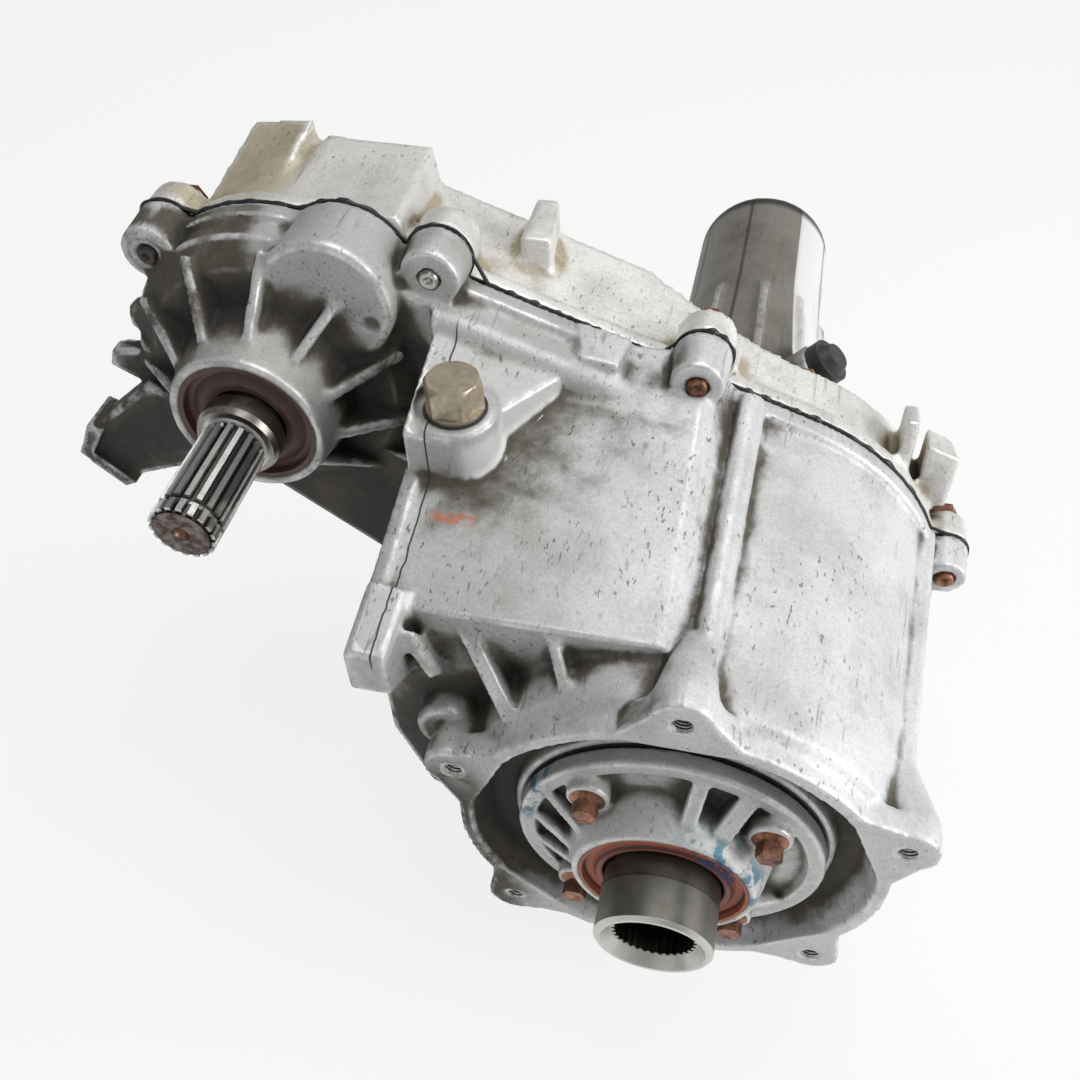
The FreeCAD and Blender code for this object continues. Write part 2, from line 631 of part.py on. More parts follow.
def sealants():
    """The three beads of black sealant squeezed between the castings."""
    lip = tangent_band(size("hull_output") + 0.8, size("hull_input") + 0.8, SEAM, GAP)
    ears = [rod(radius + 0.6, GAP, V(x, SEAM, z)) for x, z, face, radius in SEAM_EARS]
    pad_x, pad_z, pad_r, pad_y = PAD
    bead = fused([lip, rod(pad_r + 0.6, GAP, V(pad_x, SEAM, pad_z))] + ears)
    holes = [tangent_band(71, size("barrel_rear") - 4, SEAM - 1, GAP + 2)]
    holes += [rod(EAR_HOLE, GAP + 2, V(x, SEAM - 1, z)) for x, z, face, radius in SEAM_EARS]
    feature("case_sealant", carved(bead, holes))
    tail_y = size("tail_face_y")
    bead = rod(TAIL_RIM + 1, GAP, V(0, tail_y, 0))
    holes = [rod(78, GAP + 2, V(0, tail_y - 1, 0))]
    holes += [rod(4.5, GAP + 2, polar(90, 22.5 + 45 * i, tail_y - 1)) for i in range(8)]
    feature("tail_sealant", carved(bead, holes))
    seat = size("flange_thick")
    bead = rod(size("retainer_r") + 1, GAP, V(0, seat, 0))
    holes = [rod(size("input_race") + 3, GAP + 2, V(0, seat - 1, 0))]
    holes += [rod(4.2, GAP + 2, polar(size("retainer_bolts_r"), a, seat - 1)) for a in RETAINER_BOLTS]
    feature("retainer_sealant", carved(bead, holes))


# ------------------------------------------------------- retainer and input

RETAINER_BOLTS = (40, 131, 222, 307)


def input_retainer():
    """The cast cover that holds the input bearing: rim, pockets, ribs and collar."""
    rim = size("retainer_r")
    back = size("flange_thick")
    collar = size("collar_r")
    outside = turn([(0, back), (rim, back), (rim, 4), (rim - 1.5, 3), (62, 3), (60, 7), (47, 5),
                    (44, -6), (collar, -14), (collar - 1, -15), (0, -15)])
    solids = [outside]
    for angle in RETAINER_BOLTS:
        solids.append(cone(10, 9.5, back + 3, polar(size("retainer_bolts_r"), angle, back), V(0, -1, 0)))
    for angle, width in ((80, 7), (60, 9), (152, 5), (172, 5), (192, 5), (250, 5), (278, 5), (328, 8)):
        rib = gusset(V(40, -10, 0), V(64, 3.5, 0), V(42, 9, 0), width)
        solids.append(spun(rib, angle))
    cover = fused(solids)
    cuts = [turn([(0, -16), (size("seal_pocket"), -16), (size("seal_pocket"), -4), (32, -4), (32, 6),
                  (size("input_race"), 6), (size("input_race"), back + 1), (0, back + 1)])]
    cuts += [rod(4.2, 22, polar(size("retainer_bolts_r"), a, -6)) for a in RETAINER_BOLTS]
    return feature("input_retainer", carved(cover, cuts))


def retainer_bolts():
    """Four flanged hex screws in the retainer, as one group."""
    bolts = []
    for angle in RETAINER_BOLTS:
        seat = polar(size("retainer_bolts_r"), angle, -3)
        bolts.append(flanged_bolt(3.8, 28, 10, 7, 8, seat, V(0, -1, 0)))
    return feature("retainer_bolts", Part.makeCompound(bolts))


def case_screws():
    """The long screws round the seam, put in from behind, as one group."""
    screws = []
    for x, z, face, radius in SEAM_EARS:
        length = EAR_BACK - face - 1.5
        screws.append(flanged_bolt(SCREW_R, length, 13, 9, 9, V(x, EAR_BACK, z), ALONG))
    return feature("case_screws", Part.makeCompound(screws))


def tail_screws():
    """The eight screws of the tail housing, as one group."""
    head = size("tail_face_y") + GAP + 16
    screws = [flanged_bolt(3.9, 26, 10, 7, 7.6, polar(90, 22.5 + 45 * i, head), ALONG) for i in range(8)]
    return feature("tail_screws", Part.makeCompound(screws))


RANGE_DOGS = 24     # teeth that lock the range sleeve to the input shaft
LOW_DOGS = 36       # teeth of the low range clutch


def input_shaft():
    """Input hub with its female spline, bearing seat, sun gear and range clutch teeth."""
    hub = size("hub_r")
    front = size("hub_end")
    seat = size("flange_thick") + GAP + 2
    gears = size("gear_front")
    width = size("gear_width")
    module = size("module_size")
    teeth = int(size("sun_teeth"))
    journal = size("input_journal")
    blank = turn([(0, front), (hub - 1.5, front), (hub, front + 1.5), (hub, seat), (journal, seat),
                  (journal, 38), (34, 40), (34, gears + width + 14), (0, gears + width + 14)])
    sun = toothed(teeth, module * (teeth - 2.5) / 2, module * (teeth + 2) / 2 - 0.2, gears, width, fill=0.47)
    shaft = fused([blank, sun])
    mouth = turn([(0, front - 1), (23.5, front - 1), (size("input_spline") + 0.6, front + 5), (0, front + 5)])
    spline = toothed(int(size("input_teeth")), size("hub_bore"), size("input_spline"), front + 4, 62,
                     fill=0.5, flank=0.6)
    pilot = turn([(0, 34), (16.6, 34), (16.6, 60), (28.6, 60), (28.6, gears + width + 15),
                  (0, gears + width + 15)])
    dogs = toothed(RANGE_DOGS, 28, 30.6, gears + width + 4, 12, fill=0.5, flank=0.8)
    return feature("input_shaft", carved(shaft, [mouth, spline, pilot, dogs]))


def toothed_ring(count, root, tip, outside, front, length, **shape):
    """A ring with teeth on its inside."""
    ring = rod(outside, length, V(0, front, 0))
    return ring.cut(toothed(count, root, tip, front - 1, length + 2, **shape))


def planetary_set():
    """Annulus, carrier, pins and four planets; each planet sits in mesh at rest."""
    module = size("module_size")
    sun = int(size("sun_teeth"))
    planet = int(size("planet_teeth"))
    ring = int(size("ring_teeth"))
    gears = size("gear_front")
    width = size("gear_width")
    orbit = module * (sun + planet) / 2
    # a planet tooth fills the sun's gap at the line of centres, and the
    # annulus has a gap where the planet's far tooth stands
    sun_pitch = 360 / sun
    planet_pitch = 360 / planet
    ring_pitch = 360 / ring
    for i in range(4):
        place = 90 * i
        sun_offset = -place / sun_pitch
        tooth = place + 180 - planet_pitch * (sun_offset + 0.5)
        centre = polar(orbit, place, 0)
        gear = toothed(planet, module * (planet - 2.3) / 2, module * (planet + 2) / 2 - 0.3, gears, width,
                       fill=0.44, flank=0.42, phase=tooth)
        gear = gear.cut(rod(6.55, width + 2, V(0, gears - 1, 0)))
        gear.translate(V(centre.x, 0, centre.z))
        feature(f"planet_gear_{i + 1}", gear)
        if i == 0:
            far_tooth = (tooth - place) / planet_pitch
            ring_phase = place + ring_pitch * far_tooth
    space = toothed_face(ring, module * (ring - 2) / 2 + 0.25, module * (ring + 2.6) / 2, fill=0.53,
                         flank=0.75, phase=ring_phase).extrude(V(0, width + 2, 0))
    space.translate(V(0, gears - 1, 0))
    annulus = rod(size("annulus_r"), width, V(0, gears, 0)).cut(space)
    feature("annulus_gear", annulus)

    front_plate = turn([(42, gears - 3.6), (61, gears - 3.6), (61, gears - 0.6), (42, gears - 0.6)])
    back = gears + width + 0.8
    rear_plate = turn([(36, back), (63, back), (63, back + 5), (56, back + 9), (56, 104), (52, 104),
                       (52, back + 5), (36, back + 5)])
    dogs = toothed_ring(LOW_DOGS, 49.4, 51.8, 53, 99, 5, fill=0.5, flank=0.8)
    solids = [front_plate, rear_plate, dogs]
    for i in range(4):
        start = polar(orbit, 45 + 90 * i, gears - 1)
        solids.append(rod(5.5, width + 3, start))
    carrier = fused(solids)
    holes = [rod(6.0, width + 20, polar(orbit, 90 * i, gears - 6)) for i in range(4)]
    feature("planet_carrier", carved(carrier, holes))
    pins = [rod(6.0, width + 9, polar(orbit, 90 * i, gears - 3.6)) for i in range(4)]
    feature("planet_pins", Part.makeCompound(pins))


def range_sleeve():
    """The sliding range sleeve: front dogs for direct drive, outer dogs for low range."""
    body = turn([(23, 78), (27.6, 78), (27.6, 92), (36, 92), (36, 118), (46, 118), (46, 122), (23, 122)])
    dogs = toothed(RANGE_DOGS, 27.4, 30.2, 82.5, 5.5, fill=0.42, flank=0.8)
    flange = turn([(30, 106), (46, 106), (46, 110), (30, 110)])
    low = toothed(LOW_DOGS, 46.0, 49.0, 88, 4, fill=0.42, flank=0.8)
    plate = turn([(23, 88), (46.1, 88), (46.1, 92), (23, 92)])
    sleeve = fused([body, dogs, flange, low.cut(rod(40, 10, V(0, 85, 0))), plate])
    bore = toothed(26, 21.2, 22.9, 70, 60, fill=0.56, flank=0.8)
    return feature("range_sleeve", carved(sleeve, [rod(21.35, 60, V(0, 70, 0)), bore]))


# ------------------------------------------------- bearings, seals and rings

def bearing(label, bore, race, front, back, line="input"):
    """A ball bearing as one ring, with the grooves between its races on both faces."""
    middle = f"{race}-9" if isinstance(race, str) else race - 9
    inner = f"{bore}+7" if isinstance(bore, str) else bore + 7
    groove = 2.0
    return turned(label, [
        (bore, front), (inner, front), (inner, front + groove), (middle, front + groove), (middle, front),
        (race, front), (race, back), (middle, back), (middle, back - groove), (inner, back - groove),
        (inner, back), (bore, back)], line)


def rings_and_seals():
    """Bearings, seals, snap rings, bush and thrust washer on both shaft lines."""
    bearing("input_bearing", "input_journal+0.05", "input_race", 15.1, 35.0)
    tube("input_snap_ring", "input_journal", "input_journal+4.5", 35.4, 37.4)
    tube("bearing_lock_ring", 41.6, "input_race", 35.1, 37.9)
    turned("input_seal", [("hub_r+0.06", -7), ("hub_r+1.2", -13), ("hub_r+4", -13.6), ("hub_r+6", -11.2),
                          ("seal_pocket-2.2", -11.2), ("seal_pocket-1.6", -14.4), ("seal_pocket", -14.4),
                          ("seal_pocket", -4), ("hub_r+2", -4)])
    bearing("rear_bearing", "main_r", "rear_race", 203.0, 220.0)
    tube("sprocket_washer", "main_r-0.1", 33, 198.0, 201.0)
    tube("sprocket_bush", "main_r-0.1", "main_r+3", 158.5, 197.5)
    tube("tail_bush", 20.5, 23, 436, 470)
    turned("tail_seal", [(20.6, 478), (22, 476), (31, 476), (31, "tail_end_y"), (32.5, "tail_end_y"),
                         (32.5, "tail_end_y+3"), (24, "tail_end_y+3"), (22.5, "tail_end_y-3"),
                         (20.6, "tail_end_y-6")])
    bearing("front_output_bearing", "front_journal+0.05", "front_race", 128.1, 146.5, "output")
    bearing("front_output_rear_bearing", 15.65, 31.0, 209.0, 224.0, "output")
    tube("output_snap_ring", "front_journal", "front_journal+4", 147.4, 149.4, "output")
    turned("front_output_seal", [("front_journal+0.06", 119), ("front_journal+1.5", 116), (23, 115),
                                 (28, 118.5), (31, 118.5), (31.5, 114.5), (34, 114.5), (34, 126),
                                 ("front_journal+2", 126), ("front_journal+0.06", 123)], "output")
    turned("slinger_ring", [("front_journal", 101), ("front_journal+1.2", 101), ("front_journal+2.6", 104),
                            ("front_journal+2.6", 112), ("front_journal", 112)], "output")


# ---------------------------------------------------------- shafts and chain

def main_shaft():
    """The main shaft: pilot, spline for the sleeves, sprocket seat and output spline."""
    main = size("main_r")
    rear = size("main_rear_r")
    spline = size("rear_spline_r")
    end = size("tail_end_y") - 22
    blank = turn([(0, 38), (16.5, 38), (16.5, 61), (20.8, 63), (20.8, 157), (main - 0.1, 157),
                  (main - 0.1, 202.8), (main - 0.05, 202.8), (main - 0.05, 221), (rear, 222), (rear, 378),
                  (spline - 1.6, 382), (spline - 1.6, end - 1.5), (spline - 3, end), (0, end)])
    front_teeth = toothed(26, 20.5, 22.5, 76, 81, fill=0.46, flank=0.8)
    rear_teeth = toothed(28, spline - 1.8, spline, 382, end - 384, fill=0.55, flank=0.7)
    return feature("main_shaft", fused([blank, front_teeth, rear_teeth]))


def mode_parts():
    """The mode hub on the main shaft and the sleeve that locks it to the sprocket."""
    bore = toothed(26, 21.2, 22.9, 140, 18, fill=0.56, flank=0.8)
    hub = fused([rod(32, 14, V(0, 142, 0)), toothed(28, 31.5, 34, 142, 14, fill=0.42, flank=0.8)])
    feature("mode_hub", carved(hub, [rod(21.35, 16, V(0, 141, 0)), bore]))
    sleeve = turn([(31, 144), (44, 144), (44, 147), (38.5, 147), (38.5, 155), (44, 155), (44, 158),
                   (38.5, 162), (31, 162)])
    space = toothed(28, 32.3, 34.4, 143, 20, fill=0.5, flank=0.85)
    feature("mode_sleeve", carved(sleeve, [rod(32.35, 20, V(0, 143, 0)), space]))


def sprocket(label, bore, line, phase):
    """A wide chain sprocket; the tooth gaps are cut down to the root."""
    tip = size("sprocket_tip")
    teeth = int(size("sprocket_teeth"))
    front = size("chain_front")
    width = size("chain_width")
    wheel = toothed(teeth, tip - 4.5, tip, front, width, fill=0.52, flank=0.5, phase=phase)
    if line == "input":
        hub = rod(30, 7.0, V(0, front - 6.6, 0))
        dogs = toothed(28, 29, 34, front - 6.6, 4, fill=0.42, flank=0.8)
        wheel = fused([wheel, hub, dogs])
    wheel = wheel.cut(rod(bore, width + 20, V(0, front - 10, 0)))
    place = V(0, 0, 0) if line == "input" else V(O_X, 0, O_Z)
    return feature(label, wheel, place)


def chain():
    """The silent chain as one loop, notched outside between its links."""
    inner = size("chain_inner")
    outer = size("chain_outer")
    front = size("chain_front")
    width = size("chain_width")
    loop = tangent_band(outer, outer, front, width).cut(
        tangent_band(inner, inner, front - 1, width + 2))
    span = math.hypot(O_X, O_Z)
    along = math.degrees(math.atan2(O_Z, O_X))
    notches = []
    links = 30
    for i in range(links // 2 + 1):
        angle = along - 90 + 180 * i / (links / 2)
        notches.append(block((outer - 2.5, outer + 1), (front - 1, front + width + 1), (-0.8, 0.8)))
        far = spun(notches[-1], angle)
        far.translate(V(O_X, 0, O_Z))
        near = spun(notches.pop(), angle + 180)
        notches += [far, near]
    steps = 25
    for i in range(1, steps):
        for side in (1, -1):
            bar = block((span * i / steps - 0.8, span * i / steps + 0.8),
                        (front - 1, front + width + 1), (side * outer - 2.5, side * outer + 2.5))
            notches.append(spun(bar, along))
    return feature("drive_chain", loop.cut(Part.makeCompound(notches)))


def front_output_shaft():
    """The front output shaft: big open spline, snap ring groove and toothed end collar."""
    radius = size("shaft_r")
    tip = size("shaft_tip")
    teeth = int(size("shaft_teeth"))
    journal = size("front_journal")
    blank = turn([(0, tip), (radius - 2.4, tip), (radius - 2.4, 99), (radius, 101), (journal, 101),
                  (journal, 151), (20, 151), (20, 205), (15.6, 205), (15.6, 226), (0, 226)])
    collar = toothed(teeth, radius - 2.6, radius, tip + 0.8, 6.4, fill=0.6, flank=0.8)
    spline = toothed(teeth, radius - 2.6, radius, tip + 9.6, 46, fill=0.6, flank=0.72)
    shaft = fused([blank, collar, spline])
    groove = turn([(radius - 3.2, tip + 7.2), (radius + 1, tip + 7.2), (radius + 1, tip + 9.6),
                   (radius - 3.2, tip + 9.6)])
    centre = cone(4, 0.5, 7, V(0, tip, 0))
    drill = rod(1.6, 12, V(0, tip - 1, 0))
    return feature("front_output_shaft", carved(shaft, [groove, centre, drill]), V(O_X, 0, O_Z))


# -------------------------------------------------------------- shift parts

def fork(label, station, thick, inner, outer, boss_front, boss_back, extra=()):
    """A shift fork: a half-round jaw in the sleeve's groove on a boss round the rail."""
    rail_x, rail_z = size("rail_x"), size("rail_z")
    jaw = turn([(inner, station), (outer, station), (outer, station + thick), (inner, station + thick)])
    towards = math.degrees(math.atan2(rail_z, rail_x))
    keep_side = block((-8, 80), (station - 1, station + thick + 1), (-80, 80))
    jaw = jaw.common(spun(keep_side, towards))
    arm = spun(block((outer - 4, 104), (station, station + thick), (-9, 9)), towards)
    boss = rod(12, boss_back - boss_front, V(rail_x, boss_front, rail_z))
    solid = fused([jaw, arm, boss] + list(extra))
    return feature(label, solid.cut(rod(size("rail_r") + 0.05, 200, V(rail_x, 60, rail_z))))


def shift_parts():
    """Rail, forks, sector with its shaft and lever, and the sprung detent plunger."""
    rail_x, rail_z = size("rail_x"), size("rail_z")
    feature("shift_rail", rod(size("rail_r"), 167, V(rail_x, 46, rail_z)))
    pin_x = size("sector_x") + 30
    pin_y = size("sector_y") - size("range_travel") / 2
    lug = block((rail_x - 2, pin_x + 5), (pin_y - 5, pin_y + 5), (rail_z + 4, rail_z + 11))
    pin = rod(3, 9, V(pin_x, pin_y, rail_z + 10), UP)
    fork("range_fork", 110.6, 6.8, 37, 52, 88, 117.4, (lug, pin))
    fork("mode_fork", 147.6, 6.8, 39.5, 54, 140, 160)

    # the sector's slot points at the fork's pin; half of its travel lies each side
    shaft_x, shaft_y = size("sector_x"), size("sector_y")
    swing = math.degrees(math.atan2(size("range_travel") / 2, 30))
    plate = fused([rod(18, 6, V(0, 0, 74.5), UP), block((0, 38), (-9, 9), (74.5, 80.5))])
    slot = fused([block((26, 40), (-3.4, 3.4), (70, 90)), rod(3.4, 20, V(26, 0, 70), UP)])
    plate = carved(plate, [slot, rod(size("sector_r"), 20, V(0, 0, 70), UP)])
    plate.rotate(ORIGIN, UP, -swing)
    feature("shift_sector", plate, V(shaft_x, shaft_y, 0))
    spindle = fused([rod(size("sector_r"), 158, V(0, 0, -70), UP), rod(5, 12, V(0, 0, -82), UP)])
    feature("shift_shaft", spindle, V(shaft_x, shaft_y, 0))
    lever = fused([rod(14, 6, V(0, 0, -68), UP), block((-8, 8), (-48, 0), (-68, -62)),
                   rod(8, 6, V(0, -48, -68), UP)])
    lever = carved(lever, [rod(size("sector_r"), 8, V(0, 0, -69), UP), rod(4, 8, V(0, -48, -69), UP)])
    feature("shift_lever", lever, V(shaft_x, shaft_y, 0))
    nut = hexagon(13, 6, V(0, 0, -70), V(0, 0, -1)).cut(rod(5, 14, V(0, 0, -80), UP))
    feature("lever_nut", nut, V(shaft_x, shaft_y, 0))

    x, y, z = size("plug_x"), size("plug_y"), size("plug_z")
    flats = size("plug_flats")
    head = hexagon(flats, 15, V(x, y, z + 2.2)).common(cone(flats, flats / 2 - 0.4, 15, V(x, y, z + 2.2), UP))
    plug = fused([rod(13, 2.4, V(x, y, z + 0.6), UP), head, rod(11.4, 24, V(x, y, z - 22), UP)])
    feature("detent_plug", carved(plug, [rod(7, 14, V(x, y, z - 23), UP)]))
    feature("plug_o_ring", rod(14.4, 0.6, V(x, y, z), UP).cut(rod(11.5, 2, V(x, y, z - 1), UP)))
    feature("detent_plunger", fused([rod(6, 30, V(x, y, 82), UP), Part.makeSphere(6, V(x, y, 87))]))
    turns = Part.makeHelix(4.2, 25, 5.2)
    wire = Part.makePolygon([V(4.5, 0, 0), V(5.2, 0, 0.7), V(5.9, 0, 0), V(5.2, 0, -0.7), V(4.5, 0, 0)])
    coil = Part.Wire(turns.Edges).makePipeShell([wire], True, True)
    coil.translate(V(x, y, 112.9))
    feature("detent_spring", coil)


def oil_and_speed_parts():
    """Oil pump, pickup, strainer and magnet; tone wheel and speed sensor in the tail."""
    body = turn([(31, 223.6), (50, 223.6), (50, 231), (46, 237), (21.5, 237), (21.5, 234), (31, 234)])
    feature("oil_pump_body", body)
    rotor = toothed(7, 26.5, 30.4, 225, 8, fill=0.6, flank=0.5).cut(rod(size("main_rear_r"), 12, V(0, 223, 0)))
    feature("oil_pump_rotor", rotor)
    start = V(PICKUP_X, 228, PICKUP_Z)
    turn_1 = V(PICKUP_X, 203.5, PICKUP_Z)
    turn_2 = V(-142, 203.5, 127)
    end = V(-165, 216, 152)
    legs = []
    for low, high in ((start, turn_1), (turn_1, turn_2), (turn_2, end)):
        legs.append(rod(PICKUP_R, (high - low).Length, low, high - low))
    joints = [Part.makeSphere(PICKUP_R, corner) for corner in (turn_1, turn_2)]
    feature("pickup_tube", fused(legs + joints))
    strainer = cone(14, 17, 14, end + V(0, 1, 0))
    feature("oil_strainer", strainer.cut(fused(legs)))
    feature("chip_magnet", rod(11, 6, V(-203, 236, 62)))
    wheel = toothed(24, 34, 38, 294, 12, fill=0.5, flank=0.9).cut(rod(size("main_rear_r"), 14, V(0, 293, 0)))
    feature("tone_wheel", wheel)
    direction = V(math.cos(math.radians(48)), 0, math.sin(math.radians(48)))
    sensor = fused([rod(8.9, 27, V(0, 300, 0) + direction * 39.5, direction),
                    rod(13.5, 8, V(0, 300, 0) + direction * 66, direction),
                    cone(11, 8, 5, V(0, 300, 0) + direction * 74, direction)])
    feature("speed_sensor", sensor)



front_case()
rear_case()
tail_housing()
sealants()
input_retainer()
retainer_bolts()
case_screws()
tail_screws()
input_shaft()
planetary_set()
range_sleeve()
rings_and_seals()
main_shaft()
mode_parts()
sprocket("drive_sprocket", size("main_r") + 3.05, "input", 0)
sprocket("driven_sprocket", 20, "output", 0)
chain()
front_output_shaft()
shift_parts()
oil_and_speed_parts()

# ---------------------------------------------------------------- write files

doc.recompute()
for obj in doc.Objects:
    if any(flag in obj.State for flag in ("Invalid", "Error")):
        raise RuntimeError(f"{obj.Label} did not recompute: {obj.State}")
for obj in nodes:
    if obj.Shape.isNull() or not obj.Shape.isValid():
        raise RuntimeError(f"{obj.Label} has a bad shape")
for obj in nodes:
    obj.Shape.exportStep(f"parts/{obj.Label}.step")
    print(f"{obj.Label:24s} solids {len(obj.Shape.Solids):3d}  volume {obj.Shape.Volume / 1000:9.1f} cm3")
print(len(nodes), "parts")
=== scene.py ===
import bmesh
import bpy
import json
import math
import numpy as np
from mathutils import Matrix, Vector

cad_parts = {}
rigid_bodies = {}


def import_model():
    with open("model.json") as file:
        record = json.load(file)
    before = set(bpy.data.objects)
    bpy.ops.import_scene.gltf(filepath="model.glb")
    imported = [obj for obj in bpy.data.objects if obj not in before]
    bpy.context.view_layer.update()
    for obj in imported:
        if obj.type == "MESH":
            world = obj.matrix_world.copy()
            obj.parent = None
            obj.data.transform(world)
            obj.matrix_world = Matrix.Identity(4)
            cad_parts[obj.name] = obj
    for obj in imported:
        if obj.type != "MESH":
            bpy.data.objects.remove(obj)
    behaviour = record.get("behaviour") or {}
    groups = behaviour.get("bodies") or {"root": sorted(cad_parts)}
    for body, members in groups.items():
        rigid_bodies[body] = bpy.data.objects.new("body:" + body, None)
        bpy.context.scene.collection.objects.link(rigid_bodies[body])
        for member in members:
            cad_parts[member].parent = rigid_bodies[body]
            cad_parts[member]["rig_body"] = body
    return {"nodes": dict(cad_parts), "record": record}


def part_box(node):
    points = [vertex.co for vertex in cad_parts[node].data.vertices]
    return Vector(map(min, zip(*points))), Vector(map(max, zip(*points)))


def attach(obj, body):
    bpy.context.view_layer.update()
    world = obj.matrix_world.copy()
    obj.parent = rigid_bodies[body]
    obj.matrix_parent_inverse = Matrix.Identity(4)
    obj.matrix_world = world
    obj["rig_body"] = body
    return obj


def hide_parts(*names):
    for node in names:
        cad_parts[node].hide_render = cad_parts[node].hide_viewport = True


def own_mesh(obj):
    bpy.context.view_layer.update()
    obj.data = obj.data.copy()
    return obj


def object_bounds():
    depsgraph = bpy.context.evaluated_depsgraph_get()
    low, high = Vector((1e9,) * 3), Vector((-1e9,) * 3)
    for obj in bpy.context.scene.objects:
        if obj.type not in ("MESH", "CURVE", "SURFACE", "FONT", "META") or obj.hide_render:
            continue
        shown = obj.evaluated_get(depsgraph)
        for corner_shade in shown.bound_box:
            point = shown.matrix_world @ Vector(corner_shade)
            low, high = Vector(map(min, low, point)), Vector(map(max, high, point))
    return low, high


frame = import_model()
cad_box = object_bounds()
skins = frame["nodes"]

# ---------------------------------------------------------------- front case
# The front half of the housing: flange, barrel, shift housing and chain cover
# in one sand casting of aluminium. It is left raw, so it is chalky where it is
# handled, bright where edges rub, and brown where oil and road dirt collect.
# Its colour also holds painted shade over the chain cover and on low and
# left-facing faces, and painted light over the barrel and beside the plug.


def finished(piece, *modifiers):
    """The mesh that a piece has after some modifiers, given as (kind, settings)."""
    for kind, settings in modifiers:
        change = piece.modifiers.new(kind, kind)
        for key, value in settings.items():
            setattr(change, key, value)
    ready = piece.evaluated_get(bpy.context.evaluated_depsgraph_get())
    return bpy.data.meshes.new_from_object(ready)


def relief(mesh, rounds):
    """How far each vertex stands out of the average of its neighbourhood, in metres.

    The surface is averaged over its edges for some rounds; the step from a vertex
    to its averaged place, measured along the normal, is positive in a hollow and
    negative on an edge.
    """
    count = len(mesh.vertices)
    start = np.zeros(count * 3)
    mesh.vertices.foreach_get("co", start)
    normal = np.zeros(count * 3)
    mesh.vertices.foreach_get("normal", normal)
    pairs = np.zeros(len(mesh.edges) * 2, dtype=np.int64)
    mesh.edges.foreach_get("vertices", pairs)
    start = start.reshape(-1, 3)
    ends = pairs.reshape(-1, 2)
    one = np.concatenate([ends[:, 0], ends[:, 1]])
    other = np.concatenate([ends[:, 1], ends[:, 0]])
    degree = np.maximum(np.bincount(one, minlength=count), 1)
    moved = start.copy()
    for _ in range(rounds):
        moved = np.stack([np.bincount(one, moved[other, axis], count) / degree for axis in range(3)], 1)
    return np.einsum("ij,ij->i", moved - start, normal.reshape(-1, 3))


MERGE_WITHIN = 2e-6
EDGE_ROUNDS, EDGE_STAND = 6, 0.00045
HOLLOW_ROUNDS, HOLLOW_DEPTH = 80, 0.0022


def cast_skin(node, cell, most=190000, rounds=3):
    """A casting's skin from its solid: merged, remeshed in even cells, and relaxed.

    Relaxing gives each edge and inside corner a foundry radius of about a cell.
    The hollows and edges found on the way are kept as the attributes hollow, a
    wide reach, and worn, a narrow one.
    """
    mesh = skins[node].data.copy()
    loose = bmesh.new()
    loose.from_mesh(mesh)
    bmesh.ops.remove_doubles(loose, verts=loose.verts, dist=MERGE_WITHIN)
    loose.to_mesh(mesh)
    loose.free()
    piece = bpy.data.objects.new(node + "_skin", mesh)
    bpy.context.scene.collection.objects.link(piece)
    mesh = finished(piece, ("REMESH", {"mode": "VOXEL", "voxel_size": cell, "adaptivity": 0}),
                    ("SMOOTH", {"factor": 0.5, "iterations": rounds}))
    piece.modifiers.clear()
    piece.data = mesh
    narrow = np.clip(-relief(mesh, EDGE_ROUNDS) / EDGE_STAND, 0, 1)
    wide = np.clip(relief(mesh, HOLLOW_ROUNDS) / HOLLOW_DEPTH, 0, 1)
    for name, values in (("worn", narrow), ("hollow", wide)):
        mesh.attributes.new(name, "FLOAT", "POINT").data.foreach_set("value", values.astype(np.float32))
    triangles = 2 * len(mesh.polygons)
    mesh = finished(piece, ("DECIMATE", {"ratio": min(1, most / triangles)}))
    piece.modifiers.clear()
    piece.data = mesh
    mesh.shade_smooth()
    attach(piece, skins[node]["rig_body"])
    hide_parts(node)
    return piece


def add(tree, kind, out=0, links=None, **settings):
    """Add a shader node and return one of its outputs; links maps sockets to values."""
    item = tree.nodes.new("ShaderNode" + kind)
    for key, value in settings.items():
        setattr(item, key, value)
    for key, value in (links or {}).items():
        if isinstance(value, bpy.types.NodeSocket):
            tree.links.new(value, item.inputs[key])
        else:
            item.inputs[key].default_value = value
    return item.outputs[out]


def blend(tree, mask, low, high, kind="MIX"):
    """One colour mixed into another by a mask."""
    colours = [(*c, 1) if isinstance(c, tuple) and len(c) == 3 else c for c in (low, high)]
    return add(tree, "Mix", 2, {0: mask, 6: colours[0], 7: colours[1]}, data_type="RGBA",
               blend_type=kind, clamp_result=True)


def span(tree, value, low, high, first=0.0, last=1.0):
    """A smooth step of a value from low to high."""
    return add(tree, "MapRange", 0, {0: value, 1: low, 2: high, 3: first, 4: last},
               interpolation_type="SMOOTHSTEP")


def sums(tree, kind, one, two=0.0):
    """Arithmetic on two values."""
    return add(tree, "Math", 0, {0: one, 1: two}, operation=kind)


def product(tree, one, two):
    """One mask within another."""
    return sums(tree, "MULTIPLY", one, two)


def gap(tree, value, at):
    """How far a value is from one place, on either side of it."""
    return sums(tree, "ABSOLUTE", sums(tree, "SUBTRACT", value, at))


def position(tree):
    """Where a point of the part is: across to the right, along to the rear, and up."""
    return add(tree, "SeparateXYZ", 0, {0: add(tree, "TexCoord", 3)}).node.outputs


def off_axis(tree, across, up):
    """How far a point is from the input shaft's axis."""
    return add(tree, "VectorMath", 1, {0: add(tree, "CombineXYZ", 0, {0: across, 2: up})}, operation="LENGTH")


